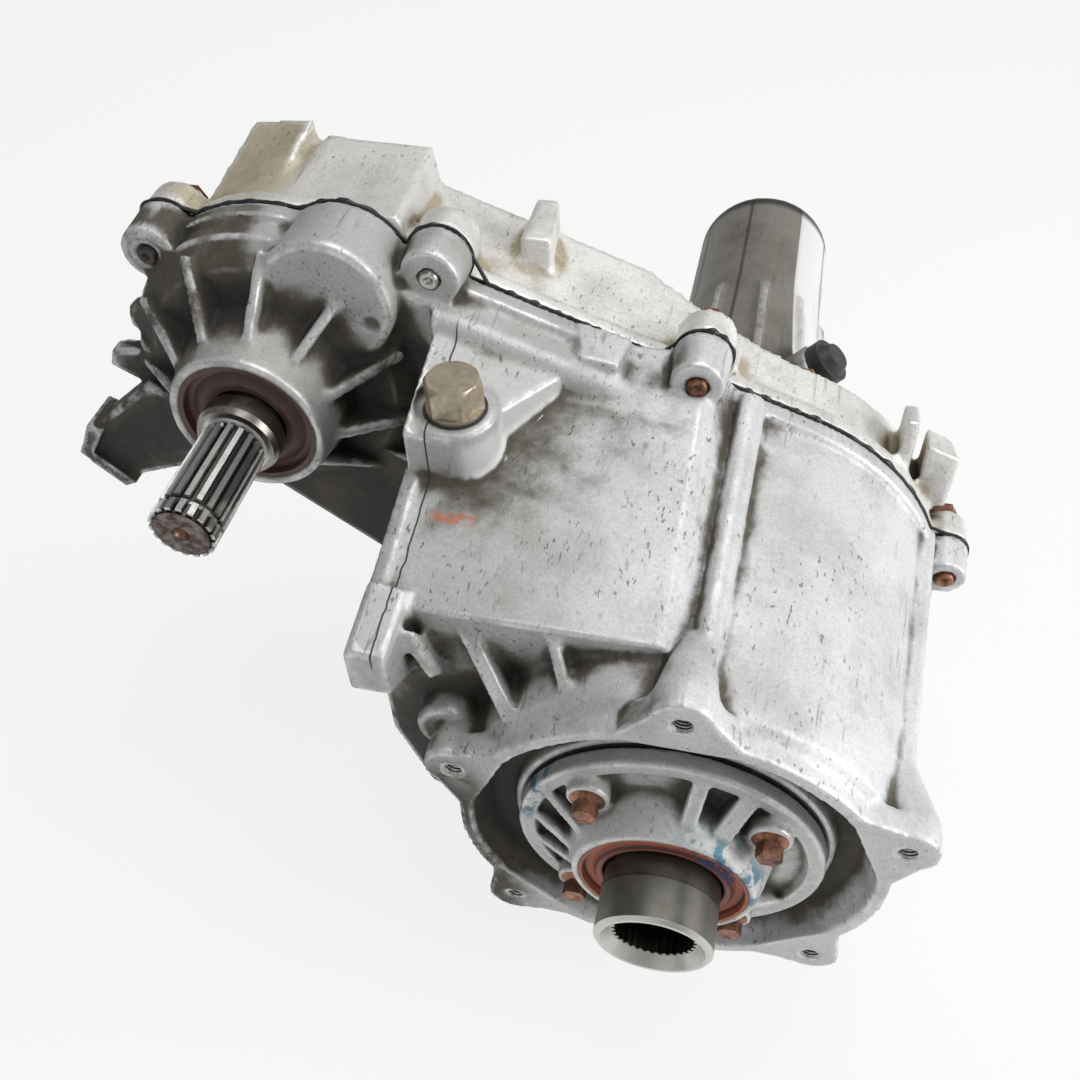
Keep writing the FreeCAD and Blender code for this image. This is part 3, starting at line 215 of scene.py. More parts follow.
def cloud(tree, where, scale, detail=4.0, rough=0.6, stretch=None, seed=0.0):
    """Noise over the surface, stretched where a direction has a grain."""
    if stretch or seed:
        where = add(tree, "Mapping", 0, {0: where, 1: (seed, seed, seed), 3: stretch or (1, 1, 1)})
    return add(tree, "TexNoise", 0, {"Vector": where, "Scale": scale, "Detail": detail,
                                     "Roughness": rough})


def new_group(name, inputs, outputs):
    """An empty shader group with its sockets; returns it, its inputs and its output node."""
    tree = bpy.data.node_groups.new(name, "ShaderNodeTree")
    for title, kind, start in inputs:
        socket = tree.interface.new_socket(title, in_out="INPUT", socket_type="NodeSocket" + kind)
        socket.default_value = start
    for title, kind in outputs:
        tree.interface.new_socket(title, in_out="OUTPUT", socket_type="NodeSocket" + kind)
    return tree, tree.nodes.new("NodeGroupInput").outputs, tree.nodes.new("NodeGroupOutput").inputs


# Cast aluminium: chalky metal under grime and painted shade, with pits, rubbed edges and a sand grain.
SOOT_AND_SHADE_BLACK = (0.024, 0.021, 0.018)
FLECK_SHADE = (0.12, 0.11, 0.1)
PIT_SHADE = (0.07, 0.062, 0.05)
FLECK_SHARE = 0.16
foundry, given, result = new_group(
    "sand cast metal",
    [("Metal", "Color", (0.6, 0.6, 0.58, 1)), ("Grime_and_shade", "Color", (0.16, 0.14, 0.11, 1)),
     ("Bright", "Color", (0.85, 0.85, 0.84, 1)), ("Hollow", "Float", 0.0), ("Worn", "Float", 0.0),
     ("Dirt_and_shade", "Float", 0.0), ("Pits", "Float", 0.5)],
    [("Color", "Color"), ("Roughness", "Float"), ("Metallic", "Float"), ("Height", "Float")])
spot = add(foundry, "TexCoord", 3)
drift = cloud(foundry, spot, 11, 5, 0.6)
blotch = cloud(foundry, spot, 55, 6, 0.7)
sand = cloud(foundry, spot, 620, 3, 0.7)
tint = span(foundry, cloud(foundry, spot, 26, 6, 0.65, seed=3.1), 0.3, 0.7)
pit_patch = span(foundry, cloud(foundry, spot, 19, 3, seed=7.0), 0.38, 0.62)
pit = cloud(foundry, spot, 480, 2, 0.5, stretch=(1, 0.4, 1), seed=1.7)
pit = product(foundry, span(foundry, pit, 0.635, 0.7), pit_patch)
scratch_patch = span(foundry, cloud(foundry, spot, 24, 3, seed=12.0), 0.48, 0.64)
scratch = cloud(foundry, spot, 430, 2, 0.5, stretch=(1, 0.035, 1), seed=5.0)
scratch = product(foundry, span(foundry, scratch, 0.6, 0.68), scratch_patch)
pit = sums(foundry, "MAXIMUM", pit, product(foundry, scratch, 0.6))
pit = product(foundry, pit, given["Pits"])
dirt_and_shade = sums(foundry, "ADD", product(foundry, given["Hollow"], 0.95),
            product(foundry, sums(foundry, "SUBTRACT", drift, 0.53), 1.5))
dirt_and_shade = sums(foundry, "ADD", dirt_and_shade, product(foundry, sums(foundry, "SUBTRACT", blotch, 0.5), 1.3))
dirt_and_shade = sums(foundry, "ADD", dirt_and_shade, given["Dirt_and_shade"])
# painted shade: an ambient occlusion mask darkens corners and creases in the grime colour
corner_shade = add(foundry, "AmbientOcclusion", 1, {"Distance": 0.016}, samples=6)
dirt_and_shade = sums(foundry, "ADD", dirt_and_shade, span(foundry, corner_shade, 0.75, 0.25, 0, 0.9))
# the heaviest grime and painted shade turns near black
soot_and_deep_shade = span(foundry, dirt_and_shade, 0.7, 1.5)
dirt_and_shade = span(foundry, dirt_and_shade, 0.05, 0.85)
rub = product(foundry, span(foundry, given["Worn"], 0.3, 1.0, 0, 0.8),
              span(foundry, blotch, 0.36, 0.6))
pale = blend(foundry, tint, given["Metal"], (0.52, 0.5, 0.46), "MULTIPLY")
pale = blend(foundry, product(foundry, tint, 0.5), given["Metal"], pale)
colour = blend(foundry, dirt_and_shade, pale, given["Grime_and_shade"])
colour = blend(foundry, soot_and_deep_shade, colour, SOOT_AND_SHADE_BLACK)
colour = blend(foundry, rub, colour, given["Bright"])
fleck = product(foundry, span(foundry, sand, 0.35, 0.62), FLECK_SHARE)
colour = blend(foundry, sums(foundry, "SUBTRACT", FLECK_SHARE, fleck), colour, FLECK_SHADE)
colour = blend(foundry, product(foundry, pit, 0.75), colour, PIT_SHADE)
foundry.links.new(colour, result["Color"])
rough = sums(foundry, "SUBTRACT", span(foundry, dirt_and_shade, 0, 1, 0.56, 0.72), product(foundry, rub, 0.2))
foundry.links.new(rough, result["Roughness"])
shine = sums(foundry, "SUBTRACT", 0.36, product(foundry, dirt_and_shade, 0.3))
foundry.links.new(sums(foundry, "ADD", shine, product(foundry, rub, 0.25)), result["Metallic"])
height = sums(foundry, "SUBTRACT", product(foundry, sand, 0.5), pit)
height = sums(foundry, "ADD", height, product(foundry, blotch, 0.5))
foundry.links.new(height, result["Height"])


def material(name):
    """An empty material with its principled shader; returns it, its tree and the shader."""
    made = bpy.data.materials.new(name)
    made.use_nodes = True
    return made, made.node_tree, made.node_tree.nodes["Principled BSDF"]


def bump(tree, shader, height, strength, depth):
    """Raise the surface by a height value."""
    tree.links.new(add(tree, "Bump", 0, {"Strength": strength, "Distance": depth, "Height": height}),
                   shader.inputs["Normal"])


def cast_material(name, metal, grime_and_shade, bright, dirt_and_shade, pits, depth=0.0005):
    """The sand cast group in a material of its own; metal and the darkening may be functions of the tree."""
    made, tree, shader = material(name)
    group = tree.nodes.new("ShaderNodeGroup")
    group.node_tree = foundry
    for title, value in (("Metal", metal), ("Grime_and_shade", grime_and_shade), ("Bright", bright)):
        if callable(value):
            tree.links.new(value(tree), group.inputs[title])
        else:
            group.inputs[title].default_value = (*value, 1)
    for title, source in (("Hollow", "hollow"), ("Worn", "worn")):
        tree.links.new(add(tree, "Attribute", 2, attribute_name=source), group.inputs[title])
    group.inputs["Pits"].default_value = pits
    if callable(dirt_and_shade):
        tree.links.new(dirt_and_shade(tree), group.inputs["Dirt_and_shade"])
    else:
        group.inputs["Dirt_and_shade"].default_value = dirt_and_shade
    tree.links.new(group.outputs["Color"], shader.inputs["Base Color"])
    tree.links.new(group.outputs["Roughness"], shader.inputs["Roughness"])
    tree.links.new(group.outputs["Metallic"], shader.inputs["Metallic"])
    bump(tree, shader, group.outputs["Height"], 0.55, depth)
    return made, tree, shader


COVER_X, BARREL_X = -0.125, -0.005
BOWL_RADIUS, BOWL_FLOOR = 0.092, 0.024


def front_dirt_and_shade(tree):
    """Painted shade and road film on the front case: painted shade with some road film over the chain cover,
    painted shade low at the left and on faces turned to the left, darker round the bowl's rim, and little
    over the panel and the barrel.
    """
    across, along, up = position(tree)
    # painted shade with some road film: the chain cover is darkened
    cover = product(tree, span(tree, across, COVER_X, -0.155), span(tree, up, 0.2, 0.165, 1.0, 1.2))
    # a pad near the front output is left out of the painted shade
    lighter_pad = product(tree, span(tree, across, -0.228, -0.214), span(tree, up, 0.14, 0.152))
    cover = sums(tree, "SUBTRACT", cover, product(tree, lighter_pad, 0.95))
    cover = product(tree, cover, span(tree, along, 0.122, 0.142, 0.3, 1))
    # painted shade: the lower parts at the left are darkened
    shade_below = product(tree, span(tree, up, 0.08, 0.01, 0, 1.4), span(tree, across, -0.05, -0.1))
    # painted shade: faces turned to the left, on the shift housing and the raised band, are darkened
    facing = add(tree, "SeparateXYZ", 0, {0: add(tree, "TexCoord", 1)})
    shaded_flank = product(tree, span(tree, facing, -0.35, -0.85, 0, 0.8), span(tree, across, -0.09, -0.115))
    shaded_ridge_side = product(tree, span(tree, facing, -0.2, -0.7, 0, 0.75), span(tree, across, -0.06, -0.045))
    shaded_ridge_side = product(tree, shaded_ridge_side, span(tree, across, 0.03, 0.01))
    shaded_ridge_side = product(tree, shaded_ridge_side, span(tree, up, 0, 0.03))
    shaded_flank = sums(tree, "ADD", shaded_flank, shaded_ridge_side)
    bowl = product(tree, span(tree, off_axis(tree, across, up), BOWL_RADIUS, 0.0895),
                   span(tree, along, BOWL_FLOOR, 0.02, 0, 0.2))
    whole = sums(tree, "ADD", sums(tree, "MAXIMUM", cover, sums(tree, "MAXIMUM", shade_below, bowl)), shaded_flank)
    return sums(tree, "SUBTRACT", whole, 0.14)


def front_metal_and_barrel_light(tree):
    """Bare metal, painted paler over the barrel than over the panel: painted light on the barrel."""
    return blend(tree, span(tree, position(tree)[0], -0.1, BARREL_X), (0.5, 0.5, 0.487), (0.72, 0.724, 0.73))


def coat(piece, finish):
    """Give a piece one finish all over."""
    piece.data.materials.clear()
    piece.data.materials.append(finish)


SCRIBE_X = -0.1245
SMEAR_X, SMEAR_Y = -0.112, 0.078
PLUG_X = -0.088
front = cast_skin("front_case", 0.0015)
raw, raw_tree, raw_shader = cast_material(
    "raw cast aluminium", front_metal_and_barrel_light, (0.088, 0.076, 0.054), (0.78, 0.78, 0.775), front_dirt_and_shade, 0.9)
# a scribed line beside the plug, and a smear of old red paint on the panel
across, along, up = position(raw_tree)
on_top = span(raw_tree, up, 0.098, 0.104)
waver = cloud(raw_tree, add(raw_tree, "CombineXYZ", 0, {1: along}), 38, 3)
edge = gap(raw_tree, sums(raw_tree, "ADD", across, product(raw_tree, waver, 0.005)), SCRIBE_X)
scribe = product(raw_tree, span(raw_tree, edge, 0.0006, 0.0002), on_top)
scribe = product(raw_tree, scribe, span(raw_tree, along, 0.158, 0.15))
smear = product(raw_tree, span(raw_tree, gap(raw_tree, across, SMEAR_X), 0.0125, 0.008),
                span(raw_tree, gap(raw_tree, along, SMEAR_Y), 0.0036, 0.0012))
smear = product(raw_tree, smear, on_top)
broken = cloud(raw_tree, add(raw_tree, "TexCoord", 3), 420, 4, 0.7, stretch=(0.3, 1, 1))
smear = product(raw_tree, smear, span(raw_tree, broken, 0.38, 0.54, 0, 0.9))
cast_colour = raw_shader.inputs["Base Color"].links[0].from_socket
cast_colour = blend(raw_tree, smear, cast_colour, (0.5, 0.16, 0.08))
# painted highlight: the slopes by the plug's boss that face the right are painted white
lit_slope = add(raw_tree, "SeparateXYZ", 0, {0: add(raw_tree, "TexCoord", 1)})
lit_slope = product(raw_tree, span(raw_tree, lit_slope, 0.15, 0.5), span(raw_tree, up, 0.1, 0.105))
lit_slope = product(raw_tree, lit_slope, span(raw_tree, gap(raw_tree, across, PLUG_X), 0.04, 0.03))
lit_slope = product(raw_tree, lit_slope, span(raw_tree, up, 0.146, 0.138, 0, 0.75))
cast_colour = blend(raw_tree, lit_slope, cast_colour, (0.8, 0.8, 0.79))
raw_tree.links.new(blend(raw_tree, scribe, cast_colour, (0.03, 0.03, 0.03)), raw_shader.inputs["Base Color"])
coat(front, raw)

# ------------------------------------------------------------- flange threads
# The six tapped holes of the input flange take the gearbox screws. Each is a
# clean cut thread in the aluminium, brighter than the casting round it.


def rings(centre, angle, along, reach):
    """Points on circles about a line along Y: one row for each place along it, as (x, y, z)."""
    along = np.broadcast_to(along, reach.shape)
    return np.stack([centre[0] + reach * np.cos(angle), centre[1] + along,
                     centre[2] + reach * np.sin(angle)], -1).reshape(-1, 3)


THREAD_AROUND, ROWS_A_TURN = 48, 10


def thread(centre, radius, depth, pitch, turns):
    """A screw thread: its radius is a saw of one pitch that winds with the angle."""
    around, rows = THREAD_AROUND, int(turns * ROWS_A_TURN)
    angle = np.linspace(0, 2 * math.pi, around, endpoint=False)
    along = np.linspace(0, turns * pitch, rows)
    phase = (along[:, None] / pitch + angle[None, :] / (2 * math.pi)) % 1
    reach = radius - depth * (1 - np.abs(2 * phase - 1))
    return rings(centre, angle, along[:, None], reach), (rows, around)


def grid_faces(rows, around, flip, offset):
    """The quads of a grid that closes round on itself in its second direction."""
    first = np.arange(rows - 1)[:, None] * around
    column = np.arange(around)[None, :]
    after = (column + 1) % around
    corners = [first + column, first + around + column, first + around + after, first + after]
    if flip:
        corners = corners[::-1]
    return (np.stack([c.reshape(-1) for c in corners], 1) + offset).tolist()


MEET_WITHIN = 1e-7


def surface(name, parts, body, finish):
    """One piece from several closed-round grids, each (points, (rows, around), flip).

    Points that meet, at a pole or where a tube ends on its own start, become one.
    """
    points, faces, offset = [], [], 0
    for places, (rows, around), flip in parts:
        points.append(places)
        faces += grid_faces(rows, around, flip, offset)
        offset += len(places)
    mesh = bpy.data.meshes.new(name)
    mesh.from_pydata(np.clip(np.concatenate(points), cad_box[0], cad_box[1]).tolist(), [], faces)
    joined = bmesh.new()
    joined.from_mesh(mesh)
    bmesh.ops.remove_doubles(joined, verts=joined.verts, dist=MEET_WITHIN)
    joined.to_mesh(mesh)
    joined.free()
    mesh.shade_smooth()
    mesh.materials.append(finish)
    piece = bpy.data.objects.new(name, mesh)
    bpy.context.scene.collection.objects.link(piece)
    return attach(piece, body)


def steel(name, colour, rough, tone=0.2, grain=(1, 14, 1), metallic=0.9, stain=(0.2, 0.15, 0.1),
          stained=0.2, blot=48):
    """Machined steel: a base colour, marks of the tool along one direction, and oily stains."""
    made, tree, shader = material(name)
    spot = add(tree, "TexCoord", 3)
    mark = cloud(tree, spot, 160, 4, 0.6, stretch=grain)
    film = span(tree, cloud(tree, spot, blot, 5, 0.65, seed=2.0), 0.42, 0.7)
    dark = tuple(c * (1 - tone) for c in colour)
    tint = blend(tree, span(tree, mark, 0.3, 0.7), dark, colour)
    tint = blend(tree, product(tree, film, stained), tint, stain)
    tree.links.new(tint, shader.inputs["Base Color"])
    shader.inputs["Metallic"].default_value = metallic
    tree.links.new(span(tree, film, 0, 1, rough, min(1, rough + 0.2)), shader.inputs["Roughness"])
    bump(tree, shader, mark, 0.25, 0.0001)
    return made


EAR_RADIUS = 0.105
EAR_ANGLES = (22.5, 90, 157.5, 225, 270, 315)
HOLE_RADIUS, HOLE_WALL, HOLE_START = 0.00448, 0.0053, 0.0006
HOLE_THREAD, HOLE_PITCH, HOLE_TURNS = 0.0006, 0.0015, 13
bright_thread = steel("cut thread", (0.72, 0.72, 0.7), 0.32, stained=0.35)
tapped = []
for turn in EAR_ANGLES:
    heading = math.radians(turn)
    centre = (EAR_RADIUS * math.cos(heading), HOLE_START, EAR_RADIUS * math.sin(heading))
    places, (rows, around) = thread(centre, HOLE_RADIUS, HOLE_THREAD, HOLE_PITCH, HOLE_TURNS)
    angle = np.linspace(0, 2 * math.pi, around, endpoint=False)
    ends = np.array([[HOLE_TURNS * HOLE_PITCH], [0.0]])
    wall = rings(centre, angle, ends, np.full((2, around), HOLE_WALL))
    tapped.append((np.concatenate([places, wall, places[:around]]), (rows + 3, around), True))
flange_threads = surface("flange_threads", tapped, "case", bright_thread)

# ----------------------------------------------------------------- rear case
# The rear half of the housing, cast in the same alloy but with a pale coating
# that has yellowed. Oil has run down from the screw ears and the joint.


def rear_dirt(tree):
    """Soiling on the rear case: along the joint, and an old yellow film over each end."""
    across, along, _ = position(tree)
    joint = span(tree, along, 0.19, 0.183, -0.3, 0.1)
    film = sums(tree, "ADD", span(tree, across, -0.2, -0.25, 0, 0.3),
                span(tree, across, 0.085, 0.095, 0, 0.35))
    return sums(tree, "ADD", joint, film)


def rear_coat(tree):
    """The coating: yellow at the left end, grey-white over the raised box, near white beyond."""
    across = position(tree)[0]
    left = blend(tree, span(tree, across, -0.212, -0.232), (0.76, 0.75, 0.715), (0.57, 0.51, 0.37))
    return blend(tree, span(tree, across, -0.15, -0.1), left, (0.87, 0.866, 0.835))


rear = cast_skin("rear_case", 0.0019, 170000)
cream = cast_material(
    "pale coated casting", rear_coat, (0.36, 0.3, 0.19), (0.86, 0.85, 0.82), rear_dirt, 0.75)[0]
coat(rear, cream)

# -------------------------------------------------------------- tail housing
# The long tail casting that carries the rear output. It is older and browner
# than the case, with drawn facets along it. Its facet edges are painted as dark
# shade lines and one painted highlight, and its right side is painted pale as light.

tail = cast_skin("tail_housing", 0.0019, 120000)
tail_metal, tail_tree, tail_shader = cast_material(
    "weathered tail casting", (0.27, 0.255, 0.225), (0.085, 0.07, 0.055), (0.66, 0.65, 0.63), 0.05, 0.6)
tail_spot = add(tail_tree, "TexCoord", 3)
drawn = cloud(tail_tree, tail_spot, 75, 4, 0.6, stretch=(1, 0.07, 1), seed=4.0)
across, along, up = add(tail_tree, "SeparateXYZ", 0, {0: tail_spot}).node.outputs
turned = sums(tail_tree, "ARCTAN2", up, across)
TUBE_START, TUBE_END = 0.29, 0.478
EDGE_DEGREES = 2.2
tube = span(tail_tree, along, TUBE_START, 0.31)


def facet_edge(at, half):
    """A line along the tail at one angle round it, fading over half its width."""
    off = gap(tail_tree, turned, math.radians(at))
    return product(tail_tree, span(tail_tree, off, math.radians(half), math.radians(half * 0.3)), tube)


# painted light: the right side of the tail, toward the side lamp, is painted pale along the drawn streaks
lit_side = product(tail_tree, span(tail_tree, turned, math.radians(-60), math.radians(-50)),
                    span(tail_tree, turned, math.radians(57.5), math.radians(56)))
lit_side = product(tail_tree, lit_side, span(tail_tree, drawn, 0.2, 0.55, 0.7, 1))
tail_colour = tail_shader.inputs["Base Color"].links[0].from_socket
tail_colour = blend(tail_tree, product(tail_tree, lit_side, tube), tail_colour, (0.88, 0.88, 0.87))
dark_mask = product(tail_tree, span(tail_tree, drawn, 0.42, 0.28, 0, 0.4), tube)
tail_colour = blend(tail_tree, dark_mask, tail_colour, (0.075, 0.068, 0.058))
# painted shade: dark lines along the facet edges at four angles
for at in (20, 105, 150, -60):
    line = product(tail_tree, facet_edge(at, EDGE_DEGREES), 0.7)
    tail_colour = blend(tail_tree, line, tail_colour, (0.035, 0.03, 0.025))
# painted highlight: a bright line along the facet edge at 57 degrees
tail_colour = blend(tail_tree, facet_edge(57, 2.0), tail_colour, (0.8, 0.79, 0.76))
oily_end = span(tail_tree, along, TUBE_END, 0.486, 0, 0.9)
tail_colour = blend(tail_tree, oily_end, tail_colour, (0.022, 0.02, 0.018))
tail_tree.links.new(tail_colour, tail_shader.inputs["Base Color"])
coat(tail, tail_metal)

# ------------------------------------------------------------------- sealant
# Black silicone sealant, squeezed out of each joint by hand, so its bead is
# uneven: fat in places, thin in others, and satin where it has skinned over.


def sealant_material():
    """Cured black silicone with dust in its low places."""
    made, tree, shader = material("cured sealant")
    spot = add(tree, "TexCoord", 3)
    lumps = cloud(tree, spot, 220, 4, 0.6)
    dust = span(tree, cloud(tree, spot, 60, 5, 0.7), 0.52, 0.75)
    tint = blend(tree, product(tree, dust, 0.3), (0.018, 0.02, 0.024), (0.16, 0.15, 0.13))
    tree.links.new(tint, shader.inputs["Base Color"])
    tree.links.new(span(tree, dust, 0, 1, 0.3, 0.6), shader.inputs["Roughness"])
    bump(tree, shader, lumps, 0.5, 0.0006)
    return made


def dress(names, finish):
    """Give CAD nodes a finish."""
    for name in names:
        coat(skins[name], finish)


sealant = sealant_material()
OUTPUT = (-0.2226, 0.1217)
INPUT_REACH, OUTPUT_REACH = 0.116, 0.077
SEAM_DISCS = [
    (0, 0, INPUT_REACH), (*OUTPUT, OUTPUT_REACH), (-0.187, 0.171, 0.032), (-0.277, 0.18, 0.015),
    (-0.141, 0.18, 0.0155), (-0.017, 0.14, 0.014), (0.116, 0.032, 0.012), (0.084, -0.084, 0.012),
    (-0.028, -0.116, 0.012), (-0.16, -0.029, 0.012), (-0.299, 0.096, 0.012)]


def seam_line(count):
    """The joint's outline: the furthest reach, from one centre, of the hull and the ear discs.

    The hull of the two large circles is their radii and centres mixed along the
    shaft-to-shaft line, so it is sampled as a row of discs; each disc's reach
    along a ray is the larger root of the ray's quadratic.
    """
    mix = np.linspace(0, 1, 120)
    hull = np.stack([OUTPUT[0] * mix, OUTPUT[1] * mix,
                     INPUT_REACH + (OUTPUT_REACH - INPUT_REACH) * mix], 1)
    discs = np.concatenate([hull, np.array(SEAM_DISCS)])
    middle = np.array((-0.09, 0.05))
    angle = np.linspace(0, 2 * math.pi, count, endpoint=False)
    ray = np.stack([np.cos(angle), np.sin(angle)], 1)
    offset = discs[:, :2] - middle
    near = ray @ offset.T
    inside = near ** 2 - (offset ** 2).sum(1) + discs[:, 2] ** 2
    reach = np.where(inside > 0, near + np.sqrt(np.maximum(inside, 0)), 0).max(1)
    reach = np.mean([np.roll(reach, step) for step in range(-6, 7)], 0)
    return middle + ray * reach[:, None]


WAVES, BEAD_SIDES = 13, 10


def bead(line, station, thick, wobble, seed):
    """A rope of sealant along a closed line: a tube whose radius and place wander.

    The wander is a sum of sines of the arc length with fixed seeded phases.
    """
    chance = np.random.default_rng(seed)
    count = len(line)
    turn = np.arange(count) / count * 2 * math.pi
    waves = chance.integers(8, 130, 2 * WAVES)
    phases = chance.uniform(0, 2 * math.pi, 2 * WAVES)
    ripple = np.sin(waves[None, :] * turn[:, None] + phases[None, :])
    fat = thick + wobble * ripple[:, :WAVES].sum(1) / 4
    shift = 0.5 * wobble * ripple[:, WAVES:].sum(1) / 4
    ahead = np.roll(line, -1, 0) - np.roll(line, 1, 0)
    ahead /= np.linalg.norm(ahead, axis=1)[:, None]
    outward = np.stack([ahead[:, 1], -ahead[:, 0]], 1)
    ring = np.linspace(0, 2 * math.pi, BEAD_SIDES, endpoint=False)
    fat = np.maximum(fat, 0.3 * thick)[:, None]
    out = fat * np.cos(ring)[None, :]
    y = station + shift[:, None] + fat * np.sin(ring)[None, :]
    x = line[:, None, 0] + outward[:, None, 0] * out
    z = line[:, None, 1] + outward[:, None, 1] * out
    points = np.stack([x, y, z], -1)
    points = np.concatenate([points, points[:1]]).reshape(-1, 3)
    return points, (count + 1, BEAD_SIDES)


SEAM_Y, TAIL_JOINT_Y, TAIL_JOINT_RADIUS = 0.1824, 0.2228, 0.0992
points, shape = bead(seam_line(2600), SEAM_Y, 0.00095, 0.0006, 4)
seam_bead = surface("case_seam_bead", [(points, shape, True)], "case", sealant)
ring_turn = np.linspace(0, 2 * math.pi, 900, endpoint=False)
tail_ring = TAIL_JOINT_RADIUS * np.stack([np.cos(ring_turn), np.sin(ring_turn)], 1)
points, shape = bead(tail_ring, TAIL_JOINT_Y, 0.0021, 0.0012, 11)
tail_bead = surface("tail_joint_bead", [(points, shape, True)], "case", sealant)
dress(["case_sealant", "tail_sealant", "retainer_sealant"], sealant)

# ----------------------------------------------------- retainer and its bolts
# The cast cover that clamps the input bearing, and its four flanged screws in
# rusted copper-brown plating. Its rim is bedded in black sealant.

cover = cast_skin("input_retainer", 0.0011, 150000, 2)
cover_metal, cover_tree, cover_shader = cast_material(
    "retainer casting", (0.68, 0.68, 0.665), (0.13, 0.118, 0.095), (0.82, 0.82, 0.81), 0.02, 0.5, 0.0004)
# old blue marking paint, wiped round the collar and on one side of the rim
cover_spot = add(cover_tree, "TexCoord", 3)
across, along, up = add(cover_tree, "SeparateXYZ", 0, {0: cover_spot}).node.outputs
from_axis = off_axis(cover_tree, across, up)
collar = product(cover_tree, span(cover_tree, from_axis, 0.046, 0.042), span(cover_tree, across, 0.0, 0.016))
rim = product(cover_tree, span(cover_tree, from_axis, 0.062, 0.064),
              span(cover_tree, across, -0.052, -0.058))
blue = sums(cover_tree, "MAXIMUM", product(cover_tree, collar, span(cover_tree, up, -0.012, 0.004)),
            product(cover_tree, rim, span(cover_tree, up, 0.0, 0.012)))
wiped = span(cover_tree, cloud(cover_tree, cover_spot, 95, 5, 0.65, seed=9.0), 0.47, 0.56, 0, 0.85)
cover_colour = cover_shader.inputs["Base Color"].links[0].from_socket
cover_colour = blend(cover_tree, product(cover_tree, blue, wiped), cover_colour, (0.02, 0.17, 0.27))
cover_tree.links.new(cover_colour, cover_shader.inputs["Base Color"])
coat(cover, cover_metal)

copper = steel("copper-brown plating", (0.42, 0.2, 0.12), 0.4, 0.6, (1, 1, 1), 0.8,
               stain=(0.07, 0.04, 0.03), stained=0.9, blot=210)
dress(["retainer_bolts", "case_screws", "tail_screws"], copper)

# ----------------------------------------------------------------- stud ends
# The case screws come through the front ears, so each ear shows a threaded end,
# chamfered and centre drilled: bright at one ear, rusted or black at the others.

screw_points = np.zeros(len(skins["case_screws"].data.vertices) * 3)
skins["case_screws"].data.vertices.foreach_get("co", screw_points)
screw_points = screw_points.reshape(-1, 3)


STUD_RADIUS, STUD_STAND = 0.0047, 0.0026
STUD_THREAD, STUD_PITCH = 0.00055, 0.0012


def stud_end(centre):
    """A threaded end: the thread's saw, a chamfer in to 0.8 of the radius, and a drilled centre."""
    aside = np.hypot(screw_points[:, 0] - centre[0], screw_points[:, 2] - centre[1])
    tip = screw_points[aside < 1.5 * STUD_RADIUS, 1].min()
    axis = (centre[0], tip - STUD_STAND, centre[1])
    turns = STUD_STAND / STUD_PITCH + 0.8
    places, (rows, around) = thread(axis, STUD_RADIUS, STUD_THREAD, STUD_PITCH, turns)
    angle = np.linspace(0, 2 * math.pi, around, endpoint=False)
    profile = np.array([(0, 0.0016), (0.3, 0.0004), (0.36, -0.0002), (0.8, -0.0004)])
    cap = rings(axis, angle, profile[:, 1:], profile[:, :1] * STUD_RADIUS * np.ones(around))
    back = rings(axis, angle, places[-1:, 1:2] - axis[1], np.zeros((1, around)))
    return np.concatenate([cap, places, back]), (rows + len(profile) + 1, around), True


bare_end = steel("bare stud end", (0.55, 0.54, 0.52), 0.3, 0.4, (1, 1, 1), 0.95)
black_end = steel("blackened stud end", (0.07, 0.065, 0.06), 0.5, 0.3, (1, 1, 1), 0.7)
for name, finish, centres in (
        ("bright_stud_end", bare_end, [(-0.141, 0.18)]),
        ("rusty_stud_ends", copper, [(-0.017, 0.14), (0.116, 0.032)]),
        ("black_stud_ends", black_end,
         [(-0.277, 0.18), (-0.299, 0.096), (-0.16, -0.029), (-0.028, -0.116), (0.084, -0.084)])):
    surface(name, [stud_end(centre) for centre in centres], "case", finish)

# ------------------------------------------------------ input hub and its seal
# The turned hub of the input shaft, dull from heat and oil, with a female
# spline cut inside, in the lip of a terracotta-red rubber seal.

HUB_RADIUS, HUB_STEP = 0.025, -0.0228
hub_steel = steel("oily turned steel", (0.1, 0.096, 0.08), 0.34, 0.35, (2, 60, 2), 0.85,
                  stain=(0.13, 0.12, 0.09), stained=0.5)
dress(["input_shaft"], hub_steel)
hub_tree = hub_steel.node_tree
hub_shader = hub_tree.nodes["Principled BSDF"]
across, along, up = position(hub_tree)
hub_radius = off_axis(hub_tree, across, up)
outside = span(hub_tree, hub_radius, 0.0245, HUB_RADIUS)
hub_colour = hub_shader.inputs["Base Color"].links[0].from_socket
worn_band = product(hub_tree, span(hub_tree, along, -0.0225, -0.0235, 0, 0.2), outside)
hub_colour = blend(hub_tree, worn_band, hub_colour, (0.42, 0.41, 0.38))
# painted shade: a dark line is painted along the step of the hub
step_shade_line = span(hub_tree, gap(hub_tree, along, HUB_STEP), 0.0006, 0.0002, 0, 0.7)
step_shade_line = product(hub_tree, step_shade_line, outside)
hub_colour = blend(hub_tree, step_shade_line, hub_colour, (0.05, 0.045, 0.035))
mouth_ring = sums(hub_tree, "MAXIMUM", span(hub_tree, along, -0.0412, -0.0416),
                  product(hub_tree, span(hub_tree, along, -0.0372, -0.0382),
                          span(hub_tree, hub_radius, 0.0252, 0.0248)))
hub_colour = blend(hub_tree, product(hub_tree, mouth_ring, 0.9), hub_colour, (0.66, 0.65, 0.61))
# painted shade: the hub's bore is painted near black inside
inside = product(hub_tree, span(hub_tree, along, -0.0365, -0.03), span(hub_tree, hub_radius, 0.0205, 0.02))
hub_colour = blend(hub_tree, product(hub_tree, inside, 0.75), hub_colour, (0.035, 0.033, 0.03))
hub_tree.links.new(hub_colour, hub_shader.inputs["Base Color"])


